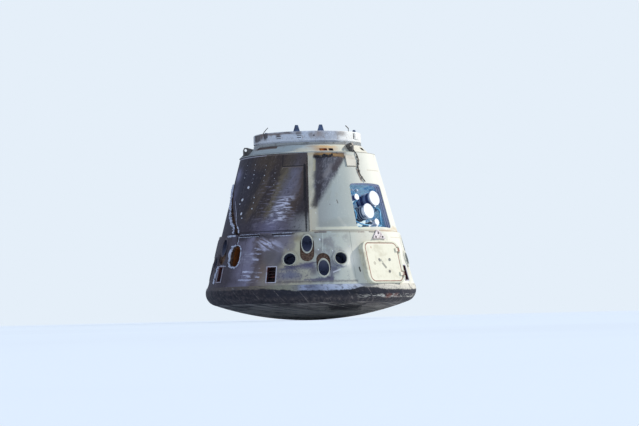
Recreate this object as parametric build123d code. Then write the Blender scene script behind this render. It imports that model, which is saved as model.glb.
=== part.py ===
from build123d import *
import math
import os

# A flown cargo capsule, standing on its heat shield. Lengths are millimetres and angles degrees.
# The origin is the lowest point of the dome and +Z is up. Azimuths are counted from -Y, the
# front, towards +X. On a wall, x runs towards larger azimuths, y up the slope and z outwards.

# Heat shield and shoulder
dome_radius = 5000.0
rim_radius = 1830.0
shoulder_radius = 217.0
shoulder_depth = 150.0
shoulder_band = 190.0
rim_top_height = 590.0
tile_count = 28
tile_groove_width = 5.0
tile_groove_depth = 7.0
tile_turn = 4.0

# Service section wall
service_foot_step = 30.0
service_flare_height = 60.0
service_flare_step = 22.0
service_slope = 14.2
service_thickness = 80.0
service_top_height = 1473.0

# Cabin wall
cabin_ledge_width = 33.7
cabin_top_radius = 1173.6
cabin_thickness = 110.0
cabin_top_height = 2835.0
ridge_rise = 9.0
ridge_width = 26.0
ridge_margin = 14.0
floor_thickness = 40.0
floor_lip_thickness = 10.0
floor_lip_margin = 8.0

# Fits and joints between pieces
seat_gap = 0.3
running_gap = 5.0
seam_bevel = 7.0
weld_depth = 4.0
cut_reach = 400.0
cut_margin = 10.0

# Top deck and berthing ring
deck_edge_thickness = 12.0
deck_shelf_radius = 1062.0
deck_shelf_rise = 36.0
deck_slope_top_radius = 950.0
deck_slope_rise = 122.0
deck_thickness = 46.0
deck_pocket_corner = 8.0
deck_slot_depth = 16.0
ring_block_rise = 12.0
ring_block_bevel = 3.0
ring_outer_radius = 938.0
ring_inner_radius = 880.0
ring_neck_radius = 912.0
ring_neck_height = 26.0
ring_height = 190.0
ring_bevel = 10.0
sill_thickness = 40.0
sill_opening = 1180.0
sill_corner = 260.0
bolt_circle_radius = 905.0
bolt_count = 16
bolt_radius = 9.0
bolt_depth = 60.0
guide_tab_width = 110.0
guide_tab_tip = 46.0
guide_tab_rise = 105.0
guide_tab_thickness = 30.0
guide_tab_inset = 12.0

# Forward hatch
hatch_width = 1350.0
hatch_corner = 360.0
hatch_thickness = 50.0
hatch_edge_radius = 8.0
hatch_seat_gap = 5.0
hatch_dish_width = 1040.0
hatch_dish_corner = 200.0
hatch_dish_depth = 22.0
hatch_axis_margin = 40.0
hatch_axis_rise = 95.0
hatch_lug_offset = 250.0
hatch_arm_run = 60.0
hatch_arm_thickness = 16.0
hatch_post_width = 30.0

# Hinges
pin_radius = 9.0
knuckle_radius = 20.0
knuckle_length = 60.0
lug_plate_thickness = 20.0
pin_gap = 0.05

# Equipment bay
bay_azimuth = 46.0
bay_height = 943.0
bay_proud = 35.0
bay_frame_side = 60.0
bay_frame_end = 25.0
bay_frame_depth = 190.0
bay_frame_edge_radius = 10.0
bay_depth = 275.0
bay_wall = 16.0
door_width = 790.0
door_height = 673.0
door_corner = 100.0
door_thickness = 30.0
door_edge_radius = 4.0
door_ledge = 70.0
door_axis_setback = 26.0
door_axis_rise = 16.0
door_knuckle_radius = 10.0
door_pin_radius = 4.5
door_knuckle_offset = 210.0
door_lug_sink = 12.0
door_arm_run = 60.0
door_arm_thickness = 8.0
door_arm_foot = 30.0
door_pad_rise = 7.0

# Lifting lugs and the stay bracket
lug_hole_radius = 24.0
lug_hole_distance = 1100.0
lug_hole_drop = 28.0
lug_eye_radius = 45.0
lug_reach = 130.0
lug_thickness = 32.0
stay_azimuth = 47.0
stay_height = 1418.0
stay_width = 320.0
stay_tip_width = 60.0
stay_length = 150.0
stay_thickness = 24.0
stay_hole_radius = 13.0

# Parachute bay in the cabin wall
chute_azimuth = 50.0
chute_height = 1933.0
chute_top_width = 820.0
chute_foot_width = 930.0
chute_length = 780.0
chute_corner = 60.0
chute_depth = 330.0
chute_wall = 16.0
chute_flange = 30.0
mortar_radius = 120.0
mortar_cap_radius = 130.0
mortar_cap_length = 26.0
mortar_band_rise = 7.0
mortar_band_width = 18.0
canister_cap_rise = 9.0
canister_cap_length = 22.0
bay_bar_thickness = 22.0
bay_bar_depth = 60.0
bay_bar_height = -40.0
bay_bar_start = 20.0
bay_bar_length = 330.0

# Riser hole and the channel torn up the cabin wall
riser_azimuth = -49.5
riser_height = 1105.0
riser_width = 290.0
riser_length = 390.0
riser_corner = 100.0
riser_pocket_depth = 230.0
riser_pocket_wall = 12.0
riser_pocket_margin = 30.0
riser_pocket_corner = 110.0
riser_slot_width = 45.0
riser_slot_depth = 32.0
channel_top_azimuth = -86.0
channel_top_height = 2730.0
channel_foot_azimuth = -50.5
channel_foot_height = 1440.0
channel_bend = 5.5
channel_width = 95.0
channel_depth = 45.0
channel_steps = 5

# Ports, vents and pockets
port_wall = 11.0
port_lip = 9.0
port_boss_rise = 15.0
port_boss_radius = 158.0
pod_plate_thickness = 14.0
pod_plate_margin = 5.0
pod_plate_foot = 720.0
pod_plate_top = 1440.0
pod_wing_foot = 900.0
pod_wing_top = 1140.0
pod_arm_foot = 1190.0
pod_arm_top = 1400.0
trough_width = 235.0
trough_depth = 45.0
vent_height = 772.0
vent_turn = -24.9
vent_width = 160.0
vent_length = 260.0
vent_depth = 130.0
vent_frame = 16.0
vent_lip = 8.0
vent_corner = 8.0
vent_slat_count = 4
vent_slat_thickness = 12.0

# Name, first azimuth and last azimuth of each wall panel
service_panels = [
    ("front", -42.0, 25.5),
    ("right", 25.5, 137.5),
    ("back", 137.5, 228.0),
    ("left", 228.0, 318.0),
]
cabin_panels = [
    ("right", 0.0, 95.0),
    ("back_right", 95.0, 175.0),
    ("back_left", 175.0, 240.0),
    ("left", 240.0, 302.0),
    ("front", 302.0, 360.0),
]

# Panel whose first edge has a raised strip
ridge_panel = "right"

# Name and middle azimuth of each thruster pod, and whether it has the outlying port
pods = [
    ("front", 3.2, False),
    ("right", 93.2, True),
    ("back", 183.2, False),
    ("left", 273.2, True),
]

# Degrees from the pod's middle, height, bore radius, lean of the bore towards the floor,
# depth of the bore, height of the far end of its trough, and whether the port has a raised boss
plain_ports = [
    (-14.6, 1020.0, 103.0, 0.0, 240.0, None, True),
    (-4.6, 1280.0, 88.0, 53.0, 150.0, 980.0, False),
    (4.5, 860.0, 92.0, -50.0, 125.0, 1115.0, False),
    (14.7, 1020.0, 103.0, 0.0, 240.0, None, True),
]
outlying_port = (23.1, 1280.0, 88.0, 53.0, 150.0, 980.0, False)

# Azimuth and height of the vent beside the riser hole
riser_vent = (-62.5, 812.0)

# Name, place across and up the parachute bay, and reach past its mouth of each mortar
mortars = [
    ("upper", 105.0, 125.0, 0.0),
    ("lower", -140.0, -110.0, 10.0),
]

# Place across and up the parachute bay, radius and reach past its mouth of each canister
canisters = [
    (-315.0, 150.0, 44.0, -40.0),
    (60.0, -290.0, 48.0, -30.0),
]

# Heights of a mortar's bands, as shares of its length
mortar_bands = [0.3, 0.55]

# Place across and up the equipment door, and radius of each pad on it
door_pads = [
    (-30.0, 30.0, 26.0),
    (150.0, 40.0, 26.0),
    (95.0, -165.0, 24.0),
]

# Azimuths of the lifting lugs
lug_azimuths = [("right", 43.0), ("back", 163.0), ("left", -77.0)]

# Azimuth, height, width, length and depth of each pocket in the deck's slope
deck_pockets = [
    (15.1, 2892.0, 135.0, 64.0, 30.0),
    (22.8, 2892.0, 84.0, 64.0, 30.0),
    (70.0, 2932.0, 150.0, 70.0, 26.0),
]

# First and last azimuth, foot and top of the long shallow slot in the deck's slope
deck_slot = (-61.0, -31.5, 2938.0, 2978.0)

# Azimuths, foot and top below the ring's top, and depth of each recess in the ring's side
ring_recesses = [
    (-74.0, -59.0, 120.0, 22.0, 14.0),
    (-53.0, -46.0, 85.0, 10.0, 12.0),
    (-34.0, -28.5, 118.0, 106.0, 12.0),
    (-34.0, -28.5, 82.0, 70.0, 12.0),
    (-10.5, -6.0, 118.0, 106.0, 12.0),
    (-10.5, -6.0, 82.0, 70.0, 12.0),
    (6.3, 8.0, 92.0, 66.0, 12.0),
    (57.5, 59.5, 125.0, 25.0, 16.0),
]

# Azimuth, foot and top below the ring's top, and width of each block on the ring's side
ring_blocks = [
    (64.0, 128.0, 18.0, 105.0),
    (-8.2, 142.0, 52.0, 175.0),
]

# Azimuths of the guide tabs on the berthing ring
guide_tab_azimuths = [-11.0, 15.0, 115.0, 233.0]

# Sizes that follow from the ones above
service_foot_radius = rim_radius - service_foot_step
service_flare_radius = service_foot_radius - service_flare_step
hatch_axis_setback = hatch_width / 2 + hatch_axis_margin


def slope_run(slope, rise):
    """How far a wall leans in over a rise."""
    return rise * math.tan(math.radians(slope))


def service_radius(height):
    """Outer radius of the service wall above its flare."""
    flare_top = rim_top_height + service_flare_height
    return service_flare_radius - slope_run(service_slope, height - flare_top)


def cabin_foot_radius():
    return service_radius(service_top_height) - cabin_ledge_width


def cabin_slope():
    """Lean of the cabin wall, from its foot on the ledge to the deck's edge."""
    run = cabin_foot_radius() - cabin_top_radius
    return math.degrees(math.atan2(run, cabin_top_height - service_top_height))


def cabin_radius(height):
    """Outer radius of the cabin wall."""
    return cabin_foot_radius() - slope_run(cabin_slope(), height - service_top_height)


def turned(corners, first=0.0, last=360.0):
    """Solid swept round the vertical axis between two azimuths, from corners (radius, height)."""
    outline = Plane.XZ * make_face(Polyline(*corners, close=True))
    return Rot(0, 0, first - 90) * revolve(outline, Axis.Z, last - first)


def wall_plane(azimuth, height, radius, slope):
    """Plane on a leaning wall: x towards larger azimuths, y up the slope, z outwards."""
    angle = math.radians(azimuth)
    lean = math.radians(slope)
    across = (math.cos(angle), math.sin(angle), 0)
    outwards = (math.sin(angle) * math.cos(lean), -math.cos(angle) * math.cos(lean), math.sin(lean))
    origin = (radius * math.sin(angle), -radius * math.cos(angle), height)
    return Plane(origin=origin, x_dir=across, z_dir=outwards)


def service_plane(azimuth, height):
    return wall_plane(azimuth, height, service_radius(height), service_slope)


def cabin_plane(azimuth, height):
    return wall_plane(azimuth, height, cabin_radius(height), cabin_slope())


def rounded_block(plane, width, length, corner, inner, outer):
    """Block with rounded corners, from a depth below a plane to a rise above it."""
    outline = plane.offset(-inner) * RectangleRounded(width, length, corner)
    return extrude(outline, amount=inner + outer)


def rod(plane, x, y, radius, inner, outer):
    """Round bar square to a plane, from a depth below it to a rise above it."""
    bar = Cylinder(radius, inner + outer, align=(Align.CENTER, Align.CENTER, Align.MIN))
    return plane * Pos(x, y, -inner) * bar


def outer_edges(shape, plane):
    """Edges of the face that lies furthest out along a plane's z."""
    return shape.faces().sort_by(Axis(plane.origin, plane.z_dir))[-1].edges()


def crossbar(plane, x, y, z, radius, length):
    """Round bar along a plane's y, centred on a point of the plane's own frame."""
    return plane * Pos(x, y, z) * Rot(90, 0, 0) * Cylinder(radius, length)


def save(name, shape):
    export_step(shape, os.path.join("parts", name + ".step"))


def shoulder_centre():
    """Centre of the shoulder's arc, which is tangent to the dome inside it."""
    radius = rim_radius - shoulder_radius
    return radius, dome_radius - math.sqrt((dome_radius - shoulder_radius) ** 2 - radius ** 2)


def dome_edge():
    """Point where the dome runs into the shoulder, and the slope of the dome there."""
    radius, height = shoulder_centre()
    slope = math.asin(radius / (dome_radius - shoulder_radius))
    edge_radius = dome_radius * math.sin(slope)
    return edge_radius, dome_radius - dome_radius * math.cos(slope), slope


def shield_corner():
    """Upper corner of the heat shield, square to the dome above its edge."""
    radius, height, slope = dome_edge()
    return radius - shoulder_depth * math.sin(slope), height + shoulder_depth * math.cos(slope)


def heat_shield():
    edge_radius, edge_height, slope = dome_edge()
    corner_radius, corner_height = shield_corner()
    middle = slope / 2
    dome = ThreePointArc(
        (0, 0),
        (dome_radius * math.sin(middle), dome_radius - dome_radius * math.cos(middle)),
        (edge_radius, edge_height),
    )
    rest = Polyline((edge_radius, edge_height), (corner_radius, corner_height), (0, corner_height), (0, 0))
    return revolve(Plane.XZ * make_face([dome, rest]), Axis.Z)


def shoulder_ring():
    centre_radius, centre_height = shoulder_centre()
    edge_radius, edge_height, slope = dome_edge()
    corner_radius, corner_height = shield_corner()
    rise = rim_top_height - centre_height
    top_radius = centre_radius + math.sqrt(shoulder_radius ** 2 - rise ** 2)
    start = Vector(edge_radius + seat_gap, edge_height + seat_gap * math.tan(slope))
    arc = ThreePointArc(start, (rim_radius, centre_height), (top_radius, rim_top_height))
    inner_radius = rim_radius - shoulder_band
    rest = Polyline(
        (top_radius, rim_top_height),
        (inner_radius, rim_top_height),
        (inner_radius, corner_height),
        (corner_radius + seat_gap, corner_height),
        start,
    )
    ring = revolve(Plane.XZ * make_face([arc, rest]), Axis.Z)
    reach = 2 * shoulder_radius
    groove_middle = rim_radius - tile_groove_depth + reach / 2
    grooves = []
    for index in range(tile_count):
        azimuth = tile_turn + index * 360 / tile_count
        blade = Box(reach, tile_groove_width, 2 * reach)
        cutter = Rot(0, 0, azimuth - 90) * Pos(groove_middle, 0, centre_height) * blade
        grooves.append(cutter)
    return ring - grooves


def panel_bevels(panel, height_top, height_foot, radius_foot):
    """Upright outer edges of a wall panel, which are bevelled so that its seams show."""
    picked = []
    for edge in panel.edges().filter_by(GeomType.LINE):
        upright = abs(edge.start_point().Z - edge.end_point().Z) > (height_top - height_foot) / 2
        foot = edge.start_point() if edge.start_point().Z < edge.end_point().Z else edge.end_point()
        if upright and math.hypot(foot.X, foot.Y) > radius_foot - 1:
            picked.append(edge)
    return picked


def port_plane(azimuth, height, lean):
    """Plane across the mouth of a port, with z along the bore and outwards."""
    return service_plane(azimuth, height) * Rot(lean, 0, 0)


def port_rod(azimuth, height, lean, radius, inner, outer):
    return port_plane(azimuth, height, lean) * Pos(0, 0, -inner) * Cylinder(
        radius, inner + outer, align=(Align.CENTER, Align.CENTER, Align.MIN)
    )


def pod_ports(outlying):
    return plain_ports + [outlying_port] if outlying else plain_ports


def trough(azimuth, height, far_height):
    """Shallow channel that the exhaust of a leaning port blows along."""
    run = (far_height - height) / math.cos(math.radians(service_slope))
    reach = abs(run) - trough_width / 2
    middle = math.copysign(reach / 2, run)
    slot = Rot(0, 0, 90) * SlotCenterToCenter(reach, trough_width)
    plane = service_plane(azimuth, height)
    return extrude(plane.offset(-trough_depth) * Pos(0, middle) * slot, amount=trough_depth + cut_reach)


def port_cutters(azimuth, height, radius, lean, depth, far_height):
    """Hole for a port's tube and, for a leaning port, the channel outside it."""
    outer = radius + port_wall + seat_gap
    cutters = [port_rod(azimuth, height, lean, outer, depth + seat_gap, cut_reach)]
    if far_height is not None:
        cutters.append(trough(azimuth, height, far_height))
    return cutters


def vents():
    """Azimuth and height of each vent: one beside each thruster pod, and the one by the riser hole."""
    return [riser_vent] + [(middle + vent_turn, vent_height) for name, middle, outlying in pods]


def vent_cutter(azimuth, height):
    width = vent_width + 2 * (vent_frame + seat_gap)
    length = vent_length + 2 * (vent_frame + seat_gap)
    return rounded_block(service_plane(azimuth, height), width, length, vent_corner, cut_reach / 2, cut_reach)


def riser_cutters():
    """Riser hole, and the slot that runs up from it to the wall's top."""
    plane = service_plane(riser_azimuth, riser_height)
    hole = rounded_block(plane, riser_width, riser_length, riser_corner, cut_reach / 2, cut_reach)
    length = (service_top_height - riser_height) / math.cos(math.radians(service_slope)) + cut_reach / 4
    depth = riser_slot_depth + cut_reach
    slot = Box(riser_slot_width, length, depth, align=(Align.CENTER, Align.MIN, Align.MIN))
    return [hole, plane * Pos(0, 0, -riser_slot_depth) * slot]


def bay_cutter():
    width, length, corner = bay_frame_size()
    return rounded_block(
        bay_face(), width + 2 * seat_gap, length + 2 * seat_gap, corner + seat_gap, cut_reach, cut_reach
    )


def touches(first, last, azimuth):
    """Whether an azimuth lies between the edges of a panel."""
    return (azimuth - first) % 360 <= (last - first)


def service_cutters(first, last):
    """Everything that cuts the service wall between two azimuths."""
    cutters = []
    for name, middle, outlying in pods:
        for turn, height, radius, lean, depth, far_height, boss in pod_ports(outlying):
            if touches(first, last, middle + turn):
                cutters += port_cutters(middle + turn, height, radius, lean, depth, far_height)
    for azimuth, height in vents():
        if touches(first, last, azimuth):
            cutters.append(vent_cutter(azimuth, height))
    if touches(first, last, riser_azimuth):
        cutters += riser_cutters()
    if touches(first, last, bay_azimuth):
        cutters.append(bay_cutter())
    return cutters


def service_wall(first, last):
    flare_top = rim_top_height + service_flare_height
    top_radius = service_radius(service_top_height)
    panel = turned(
        [
            (service_foot_radius, rim_top_height),
            (service_flare_radius, flare_top),
            (top_radius, service_top_height),
            (top_radius - service_thickness, service_top_height),
            (service_flare_radius - service_thickness, flare_top),
            (service_foot_radius - service_thickness, rim_top_height),
        ],
        first,
        last,
    )
    seams = panel_bevels(panel, service_top_height, flare_top, service_flare_radius)
    panel = chamfer(seams, seam_bevel)
    for name, middle, outlying in pods:
        for turn, height, radius, lean, depth, far_height, boss in pod_ports(outlying):
            if boss and touches(first, last, middle + turn):
                plane = service_plane(middle + turn, height)
                rise = Cone(
                    port_boss_radius, port_boss_radius - port_boss_rise, 2 * port_boss_rise,
                )
                panel += plane * rise
    for cutter in service_cutters(first, last):
        panel -= cutter
    return panel


def channel_path():
    """Points along the torn channel: azimuth and height from its top to its foot."""
    turn = channel_foot_azimuth - channel_top_azimuth
    rise = channel_foot_height - channel_top_height
    points = []
    for step in range(channel_steps + 1):
        share = step / channel_steps
        bend = channel_bend * math.sin(math.pi * share)
        points.append((channel_top_azimuth + turn * share - bend, channel_top_height + rise * share))
    return points


def channel_cutters():
    """Short straight cuts that follow the channel round the cabin wall."""
    cutters = []
    points = channel_path()
    for (azimuth, height), (next_azimuth, next_height) in zip(points, points[1:]):
        start = cabin_plane(azimuth, height).origin
        end = cabin_plane(next_azimuth, next_height).origin
        middle_plane = cabin_plane((azimuth + next_azimuth) / 2, (height + next_height) / 2)
        along = end - start
        plane = Plane(origin=(start + end) * 0.5, x_dir=along, z_dir=middle_plane.z_dir)
        length = along.length + channel_width / 2
        depth = channel_depth + cut_reach
        cut = Box(length, channel_width, depth, align=(Align.CENTER, Align.CENTER, Align.MIN))
        cutters.append(plane * Pos(0, 0, -channel_depth) * cut)
    return cutters


def chute_plane():
    return cabin_plane(chute_azimuth, chute_height)


def chute_block(margin, corner, inner, outer):
    """Block with the outline of the parachute bay's mouth and a margin round it. It widens downwards."""
    rise = chute_length / 2 + margin
    widening = (chute_foot_width - chute_top_width) / 2 / chute_length
    top = chute_top_width / 2 + margin * (1 - widening)
    foot = chute_foot_width / 2 + margin * (1 + widening)
    outline = Polyline((-foot, -rise), (foot, -rise), (top, rise), (-top, rise), close=True)
    plane = chute_plane()
    block = extrude(plane.offset(-inner) * make_face(outline), amount=inner + outer)
    return fillet(block.edges().filter_by(Axis(plane.origin, plane.z_dir)), corner)


def cabin_wall(first, last):
    foot_radius = cabin_foot_radius()
    top_radius = cabin_radius(cabin_top_height)
    panel = turned(
        [
            (foot_radius, service_top_height),
            (top_radius, cabin_top_height),
            (top_radius - cabin_thickness, cabin_top_height),
            (foot_radius - cabin_thickness, service_top_height),
        ],
        first,
        last,
    )
    seams = panel_bevels(panel, cabin_top_height, service_top_height, foot_radius)
    panel = chamfer(seams, seam_bevel)
    mouth = chute_block(0, chute_corner, cut_reach / 2, cut_reach)
    return panel - channel_cutters() - mouth


def seam_ridge(azimuth):
    """Raised strip up the cabin wall, along a panel's first edge."""
    foot = service_top_height + ridge_margin
    top = cabin_top_height - ridge_margin
    corners = [
        (cabin_radius(foot) - ridge_rise, foot),
        (cabin_radius(foot) + ridge_rise, foot),
        (cabin_radius(top) + ridge_rise, top),
        (cabin_radius(top) - ridge_rise, top),
    ]
    turn = math.degrees(ridge_width / cabin_radius(foot))
    start = azimuth + math.degrees(seam_bevel / cabin_radius(top))
    return turned(corners, start, start + turn)


def cabin_floor():
    top_height = service_top_height + floor_thickness
    foot_height = service_top_height - floor_lip_thickness
    foot_radius = cabin_radius(service_top_height) - cabin_thickness - seat_gap
    top_radius = cabin_radius(top_height) - cabin_thickness - seat_gap
    lip_radius = service_radius(service_top_height) - service_thickness - floor_lip_margin
    return turned([
        (0, foot_height),
        (lip_radius, foot_height),
        (lip_radius, service_top_height),
        (foot_radius, service_top_height),
        (top_radius, top_height),
        (0, top_height),
    ])


def skin_trim(lip):
    """Solid of the service section out to a lip proud of the skin."""
    flare_top = rim_top_height + service_flare_height
    return turned([
        (0, rim_top_height),
        (service_radius(flare_top) + slope_run(service_slope, service_flare_height) + lip, rim_top_height),
        (service_radius(service_top_height) + lip, service_top_height),
        (0, service_top_height),
    ])


def inner_plate(foot, top, first, last):
    """Plate that follows the service wall's inner face between two heights and azimuths."""
    inner = service_thickness + seat_gap
    return turned(
        [
            (service_radius(foot) - inner, foot),
            (service_radius(top) - inner, top),
            (service_radius(top) - inner - pod_plate_thickness, top),
            (service_radius(foot) - inner - pod_plate_thickness, foot),
        ],
        first,
        last,
    )


def plate_notch(first, last, foot, top):
    """Cutter through a pod's plate between two azimuths and two heights."""
    inner = service_radius(service_top_height) - 2 * service_thickness
    return turned([(inner, foot), (rim_radius, foot), (rim_radius, top), (inner, top)], first, last)


def pod_plate(middle, outlying):
    """Backing plate that is full height behind the leaning ports and narrows round the others."""
    margin = pod_plate_margin
    turns = [middle + port[0] for port in pod_ports(outlying)]
    start = turns[0] - margin
    end = turns[-1] + margin
    foot = pod_plate_foot - cut_margin
    top = pod_plate_top + cut_margin
    plate = inner_plate(pod_plate_foot, pod_plate_top, start, end)
    plate -= plate_notch(start - margin, turns[1] - margin, foot, pod_wing_foot)
    plate -= plate_notch(start - margin, turns[1] - margin, pod_wing_top, top)
    plate -= plate_notch(turns[2] + margin, end + margin, foot, pod_wing_foot)
    if outlying:
        plate -= plate_notch(turns[3] + margin, end + margin, foot, pod_arm_foot)
        plate -= plate_notch(turns[2] + margin, end + margin, pod_arm_top, top)
    else:
        plate -= plate_notch(turns[2] + margin, end + margin, pod_wing_top, top)
    return plate


def thruster_pod(middle, outlying):
    """Port cups on a backing plate that follows the wall's inner face."""
    tubes = []
    bores = []
    for turn, height, radius, lean, depth, far_height, boss in pod_ports(outlying):
        azimuth = middle + turn
        lip = port_lip + (port_boss_rise if boss else 0)
        tube = port_rod(azimuth, height, lean, radius + port_wall, depth, cut_reach)
        tubes.append(tube & skin_trim(lip))
        bores.append(port_rod(azimuth, height, lean, radius, depth - port_wall, cut_reach))
    return pod_plate(middle, outlying) + tubes - bores


def vent_box(azimuth, height):
    plane = service_plane(azimuth, height)
    box = rounded_block(
        plane, vent_width + 2 * vent_frame, vent_length + 2 * vent_frame, vent_corner,
        vent_depth + vent_frame, vent_lip
    )
    box -= rounded_block(plane, vent_width, vent_length, vent_corner / 2, vent_depth, vent_lip + cut_margin)
    pitch = vent_length / (vent_slat_count + 1)
    for index in range(vent_slat_count):
        y = (index + 1) * pitch - vent_length / 2
        slat = Box(vent_width + weld_depth, vent_slat_thickness, vent_depth / 2)
        box += plane * Pos(0, y, -vent_depth * 3 / 4) * slat
    return box


def riser_pocket():
    """Box behind the riser hole, seated on the wall's inner face."""
    plane = service_plane(riser_azimuth, riser_height)
    width = riser_width + 2 * riser_pocket_margin
    length = riser_length + 2 * riser_pocket_margin
    corner = riser_pocket_corner
    box = rounded_block(plane, width, length, corner, riser_pocket_depth, 0)
    wall = riser_pocket_wall
    box -= rounded_block(
        plane, width - 2 * wall, length - 2 * wall, corner - wall, riser_pocket_depth - wall, cut_margin
    )
    return box & skin_trim(-service_thickness - seat_gap)


def bay_face():
    """Plane of the equipment door's outer face."""
    return service_plane(bay_azimuth, bay_height).offset(bay_proud)


def bay_frame_size():
    """Width, length and corner radius of the equipment bay's frame."""
    side = bay_frame_side + running_gap
    end = bay_frame_end + running_gap
    return door_width + 2 * side, door_height + 2 * end, door_corner + (side + end) / 2


def lug_plate_offset():
    """From a knuckle's middle to the middle of the fixed lug beside it."""
    return knuckle_length / 2 + running_gap + lug_plate_thickness / 2


def door_axis_x():
    return door_width / 2 + door_axis_setback


def equipment_bay():
    """Frame that stands proud of the wall, with the tray behind it and the fixed knuckles."""
    face = bay_face()
    width, length, corner = bay_frame_size()
    opening_width = door_width - 2 * door_ledge
    opening_length = door_height - 2 * door_ledge
    opening_corner = door_corner - door_ledge / 2
    frame = rounded_block(face, width, length, corner, bay_frame_depth, 0)
    frame = fillet(outer_edges(frame, face), bay_frame_edge_radius)
    wall = bay_wall
    tray = rounded_block(
        face, opening_width + 2 * wall, opening_length + 2 * wall, opening_corner + wall, bay_depth, 0
    )
    body = frame + tray
    gap = running_gap
    recess = door_thickness + gap
    body -= rounded_block(
        face, door_width + 2 * gap, door_height + 2 * gap, door_corner + gap, recess, cut_margin
    )
    body -= rounded_block(
        face, opening_width, opening_length, opening_corner, bay_depth - bay_wall, cut_margin
    )
    body -= Pos(0, 0, rim_top_height - cut_reach) * Cylinder(2 * rim_radius, 2 * cut_reach)
    for side in (-1, 1):
        for end in (-1, 1):
            y = side * door_knuckle_offset + end * lug_plate_offset()
            lug_rise = door_axis_rise + door_knuckle_radius + door_lug_sink
            lug = Box(2 * door_knuckle_radius, lug_plate_thickness, lug_rise,
                      align=(Align.CENTER, Align.CENTER, Align.MIN))
            body += face * Pos(door_axis_x(), y, -door_lug_sink) * lug
        pin_length = 2 * lug_plate_offset()
        y = side * door_knuckle_offset
        body += crossbar(face, door_axis_x(), y, door_axis_rise, door_pin_radius, pin_length)
    return body


def equipment_door():
    face = bay_face()
    door = rounded_block(face, door_width, door_height, door_corner, door_thickness, 0)
    door = fillet(outer_edges(door, face), door_edge_radius)
    arm_length = door_axis_setback + door_arm_run
    for side in (-1, 1):
        y = side * door_knuckle_offset
        door += crossbar(face, door_axis_x(), y, door_axis_rise, door_knuckle_radius, knuckle_length)
        arm = Box(arm_length, knuckle_length, door_arm_thickness,
                  align=(Align.MAX, Align.CENTER, Align.CENTER))
        door += face * Pos(door_axis_x(), y, door_axis_rise) * arm
        foot = Box(door_arm_foot, knuckle_length, door_axis_rise + weld_depth,
                   align=(Align.MIN, Align.CENTER, Align.MIN))
        door += face * Pos(door_axis_x() - arm_length, y, -weld_depth) * foot
        bore = crossbar(
            face, door_axis_x(), y, door_axis_rise, door_pin_radius + pin_gap, knuckle_length + cut_margin
        )
        door -= bore
    for x, y, radius in door_pads:
        door += rod(face, x, y, radius, weld_depth, door_pad_rise)
    return door


def parachute_bay():
    """Open tray behind the hole in the cabin wall."""
    wall = chute_wall
    corner = chute_corner + chute_flange
    tray = chute_block(chute_flange, corner, chute_depth, 0)
    tray -= chute_block(chute_flange - wall, corner - wall, chute_depth - wall, cut_margin)
    foot = service_top_height + floor_thickness
    top = cabin_top_height
    inside = turned([
        (0, foot),
        (cabin_radius(foot) - cabin_thickness - seat_gap, foot),
        (cabin_radius(top) - cabin_thickness - seat_gap, top),
        (0, top),
    ])
    return (tray & inside).solids().sort_by(SortBy.VOLUME)[-1]


def mortar(x, y, reach):
    """Drum that stands on the back of the parachute bay, with a cap on its outer end."""
    plane = chute_plane()
    floor = chute_depth - chute_wall
    drum = rod(plane, x, y, mortar_radius, floor, reach)
    for share in mortar_bands:
        z = -floor + (floor + reach) * share
        drum += plane * Pos(x, y, z) * Cylinder(mortar_radius + mortar_band_rise, mortar_band_width)
    cap = Cylinder(mortar_cap_radius, mortar_cap_length)
    drum += plane * Pos(x, y, reach - mortar_cap_length / 2) * cap
    return drum


def canister(x, y, radius, reach):
    """Small drum beside the mortars, with a raised band round its mouth."""
    floor = chute_depth - chute_wall
    drum = rod(chute_plane(), x, y, radius, floor, reach)
    return drum + rod(
        chute_plane(), x, y, radius + canister_cap_rise, canister_cap_length - reach, reach
    )


def bay_bar():
    """Bar on the back of the parachute bay, right of the lower mortar."""
    floor = chute_depth - chute_wall
    bar = Box(bay_bar_length, bay_bar_thickness, bay_bar_depth, align=(Align.MIN, Align.CENTER, Align.MIN))
    return chute_plane() * Pos(bay_bar_start, bay_bar_height, -floor) * bar


def deck_corners():
    """Corners of the deck's section, from its outer edge round to its foot."""
    edge_radius = cabin_radius(cabin_top_height)
    shelf_height = cabin_top_height + deck_shelf_rise
    top_height = shelf_height + deck_slope_rise
    return [
        (edge_radius, cabin_top_height),
        (edge_radius, cabin_top_height + deck_edge_thickness),
        (deck_shelf_radius, shelf_height),
        (deck_slope_top_radius, top_height),
        (ring_inner_radius, top_height),
        (ring_inner_radius, top_height - deck_thickness),
        (deck_slope_top_radius - deck_thickness / 2, top_height - deck_thickness),
        (edge_radius - cabin_thickness - deck_thickness / 2, cabin_top_height),
    ]


def deck_top_height():
    return cabin_top_height + deck_shelf_rise + deck_slope_rise


def deck_slope():
    """Lean of the deck's slope from upright."""
    return math.degrees(math.atan2(deck_shelf_radius - deck_slope_top_radius, deck_slope_rise))


def deck_radius(height):
    """Outer radius of the deck's slope."""
    return deck_slope_top_radius + slope_run(deck_slope(), deck_top_height() - height)


def top_deck():
    deck = turned(deck_corners())
    for azimuth, height, width, length, depth in deck_pockets:
        plane = wall_plane(azimuth, height, deck_radius(height), deck_slope())
        deck -= rounded_block(plane, width, length, deck_pocket_corner, depth, cut_margin)
    first, last, foot, top = deck_slot
    corners = [
        (deck_radius(foot) - deck_slot_depth, foot),
        (deck_radius(foot) + cut_margin, foot),
        (deck_radius(top) + cut_margin, top),
        (deck_radius(top) - deck_slot_depth, top),
    ]
    return deck - turned(corners, first, last)


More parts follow.
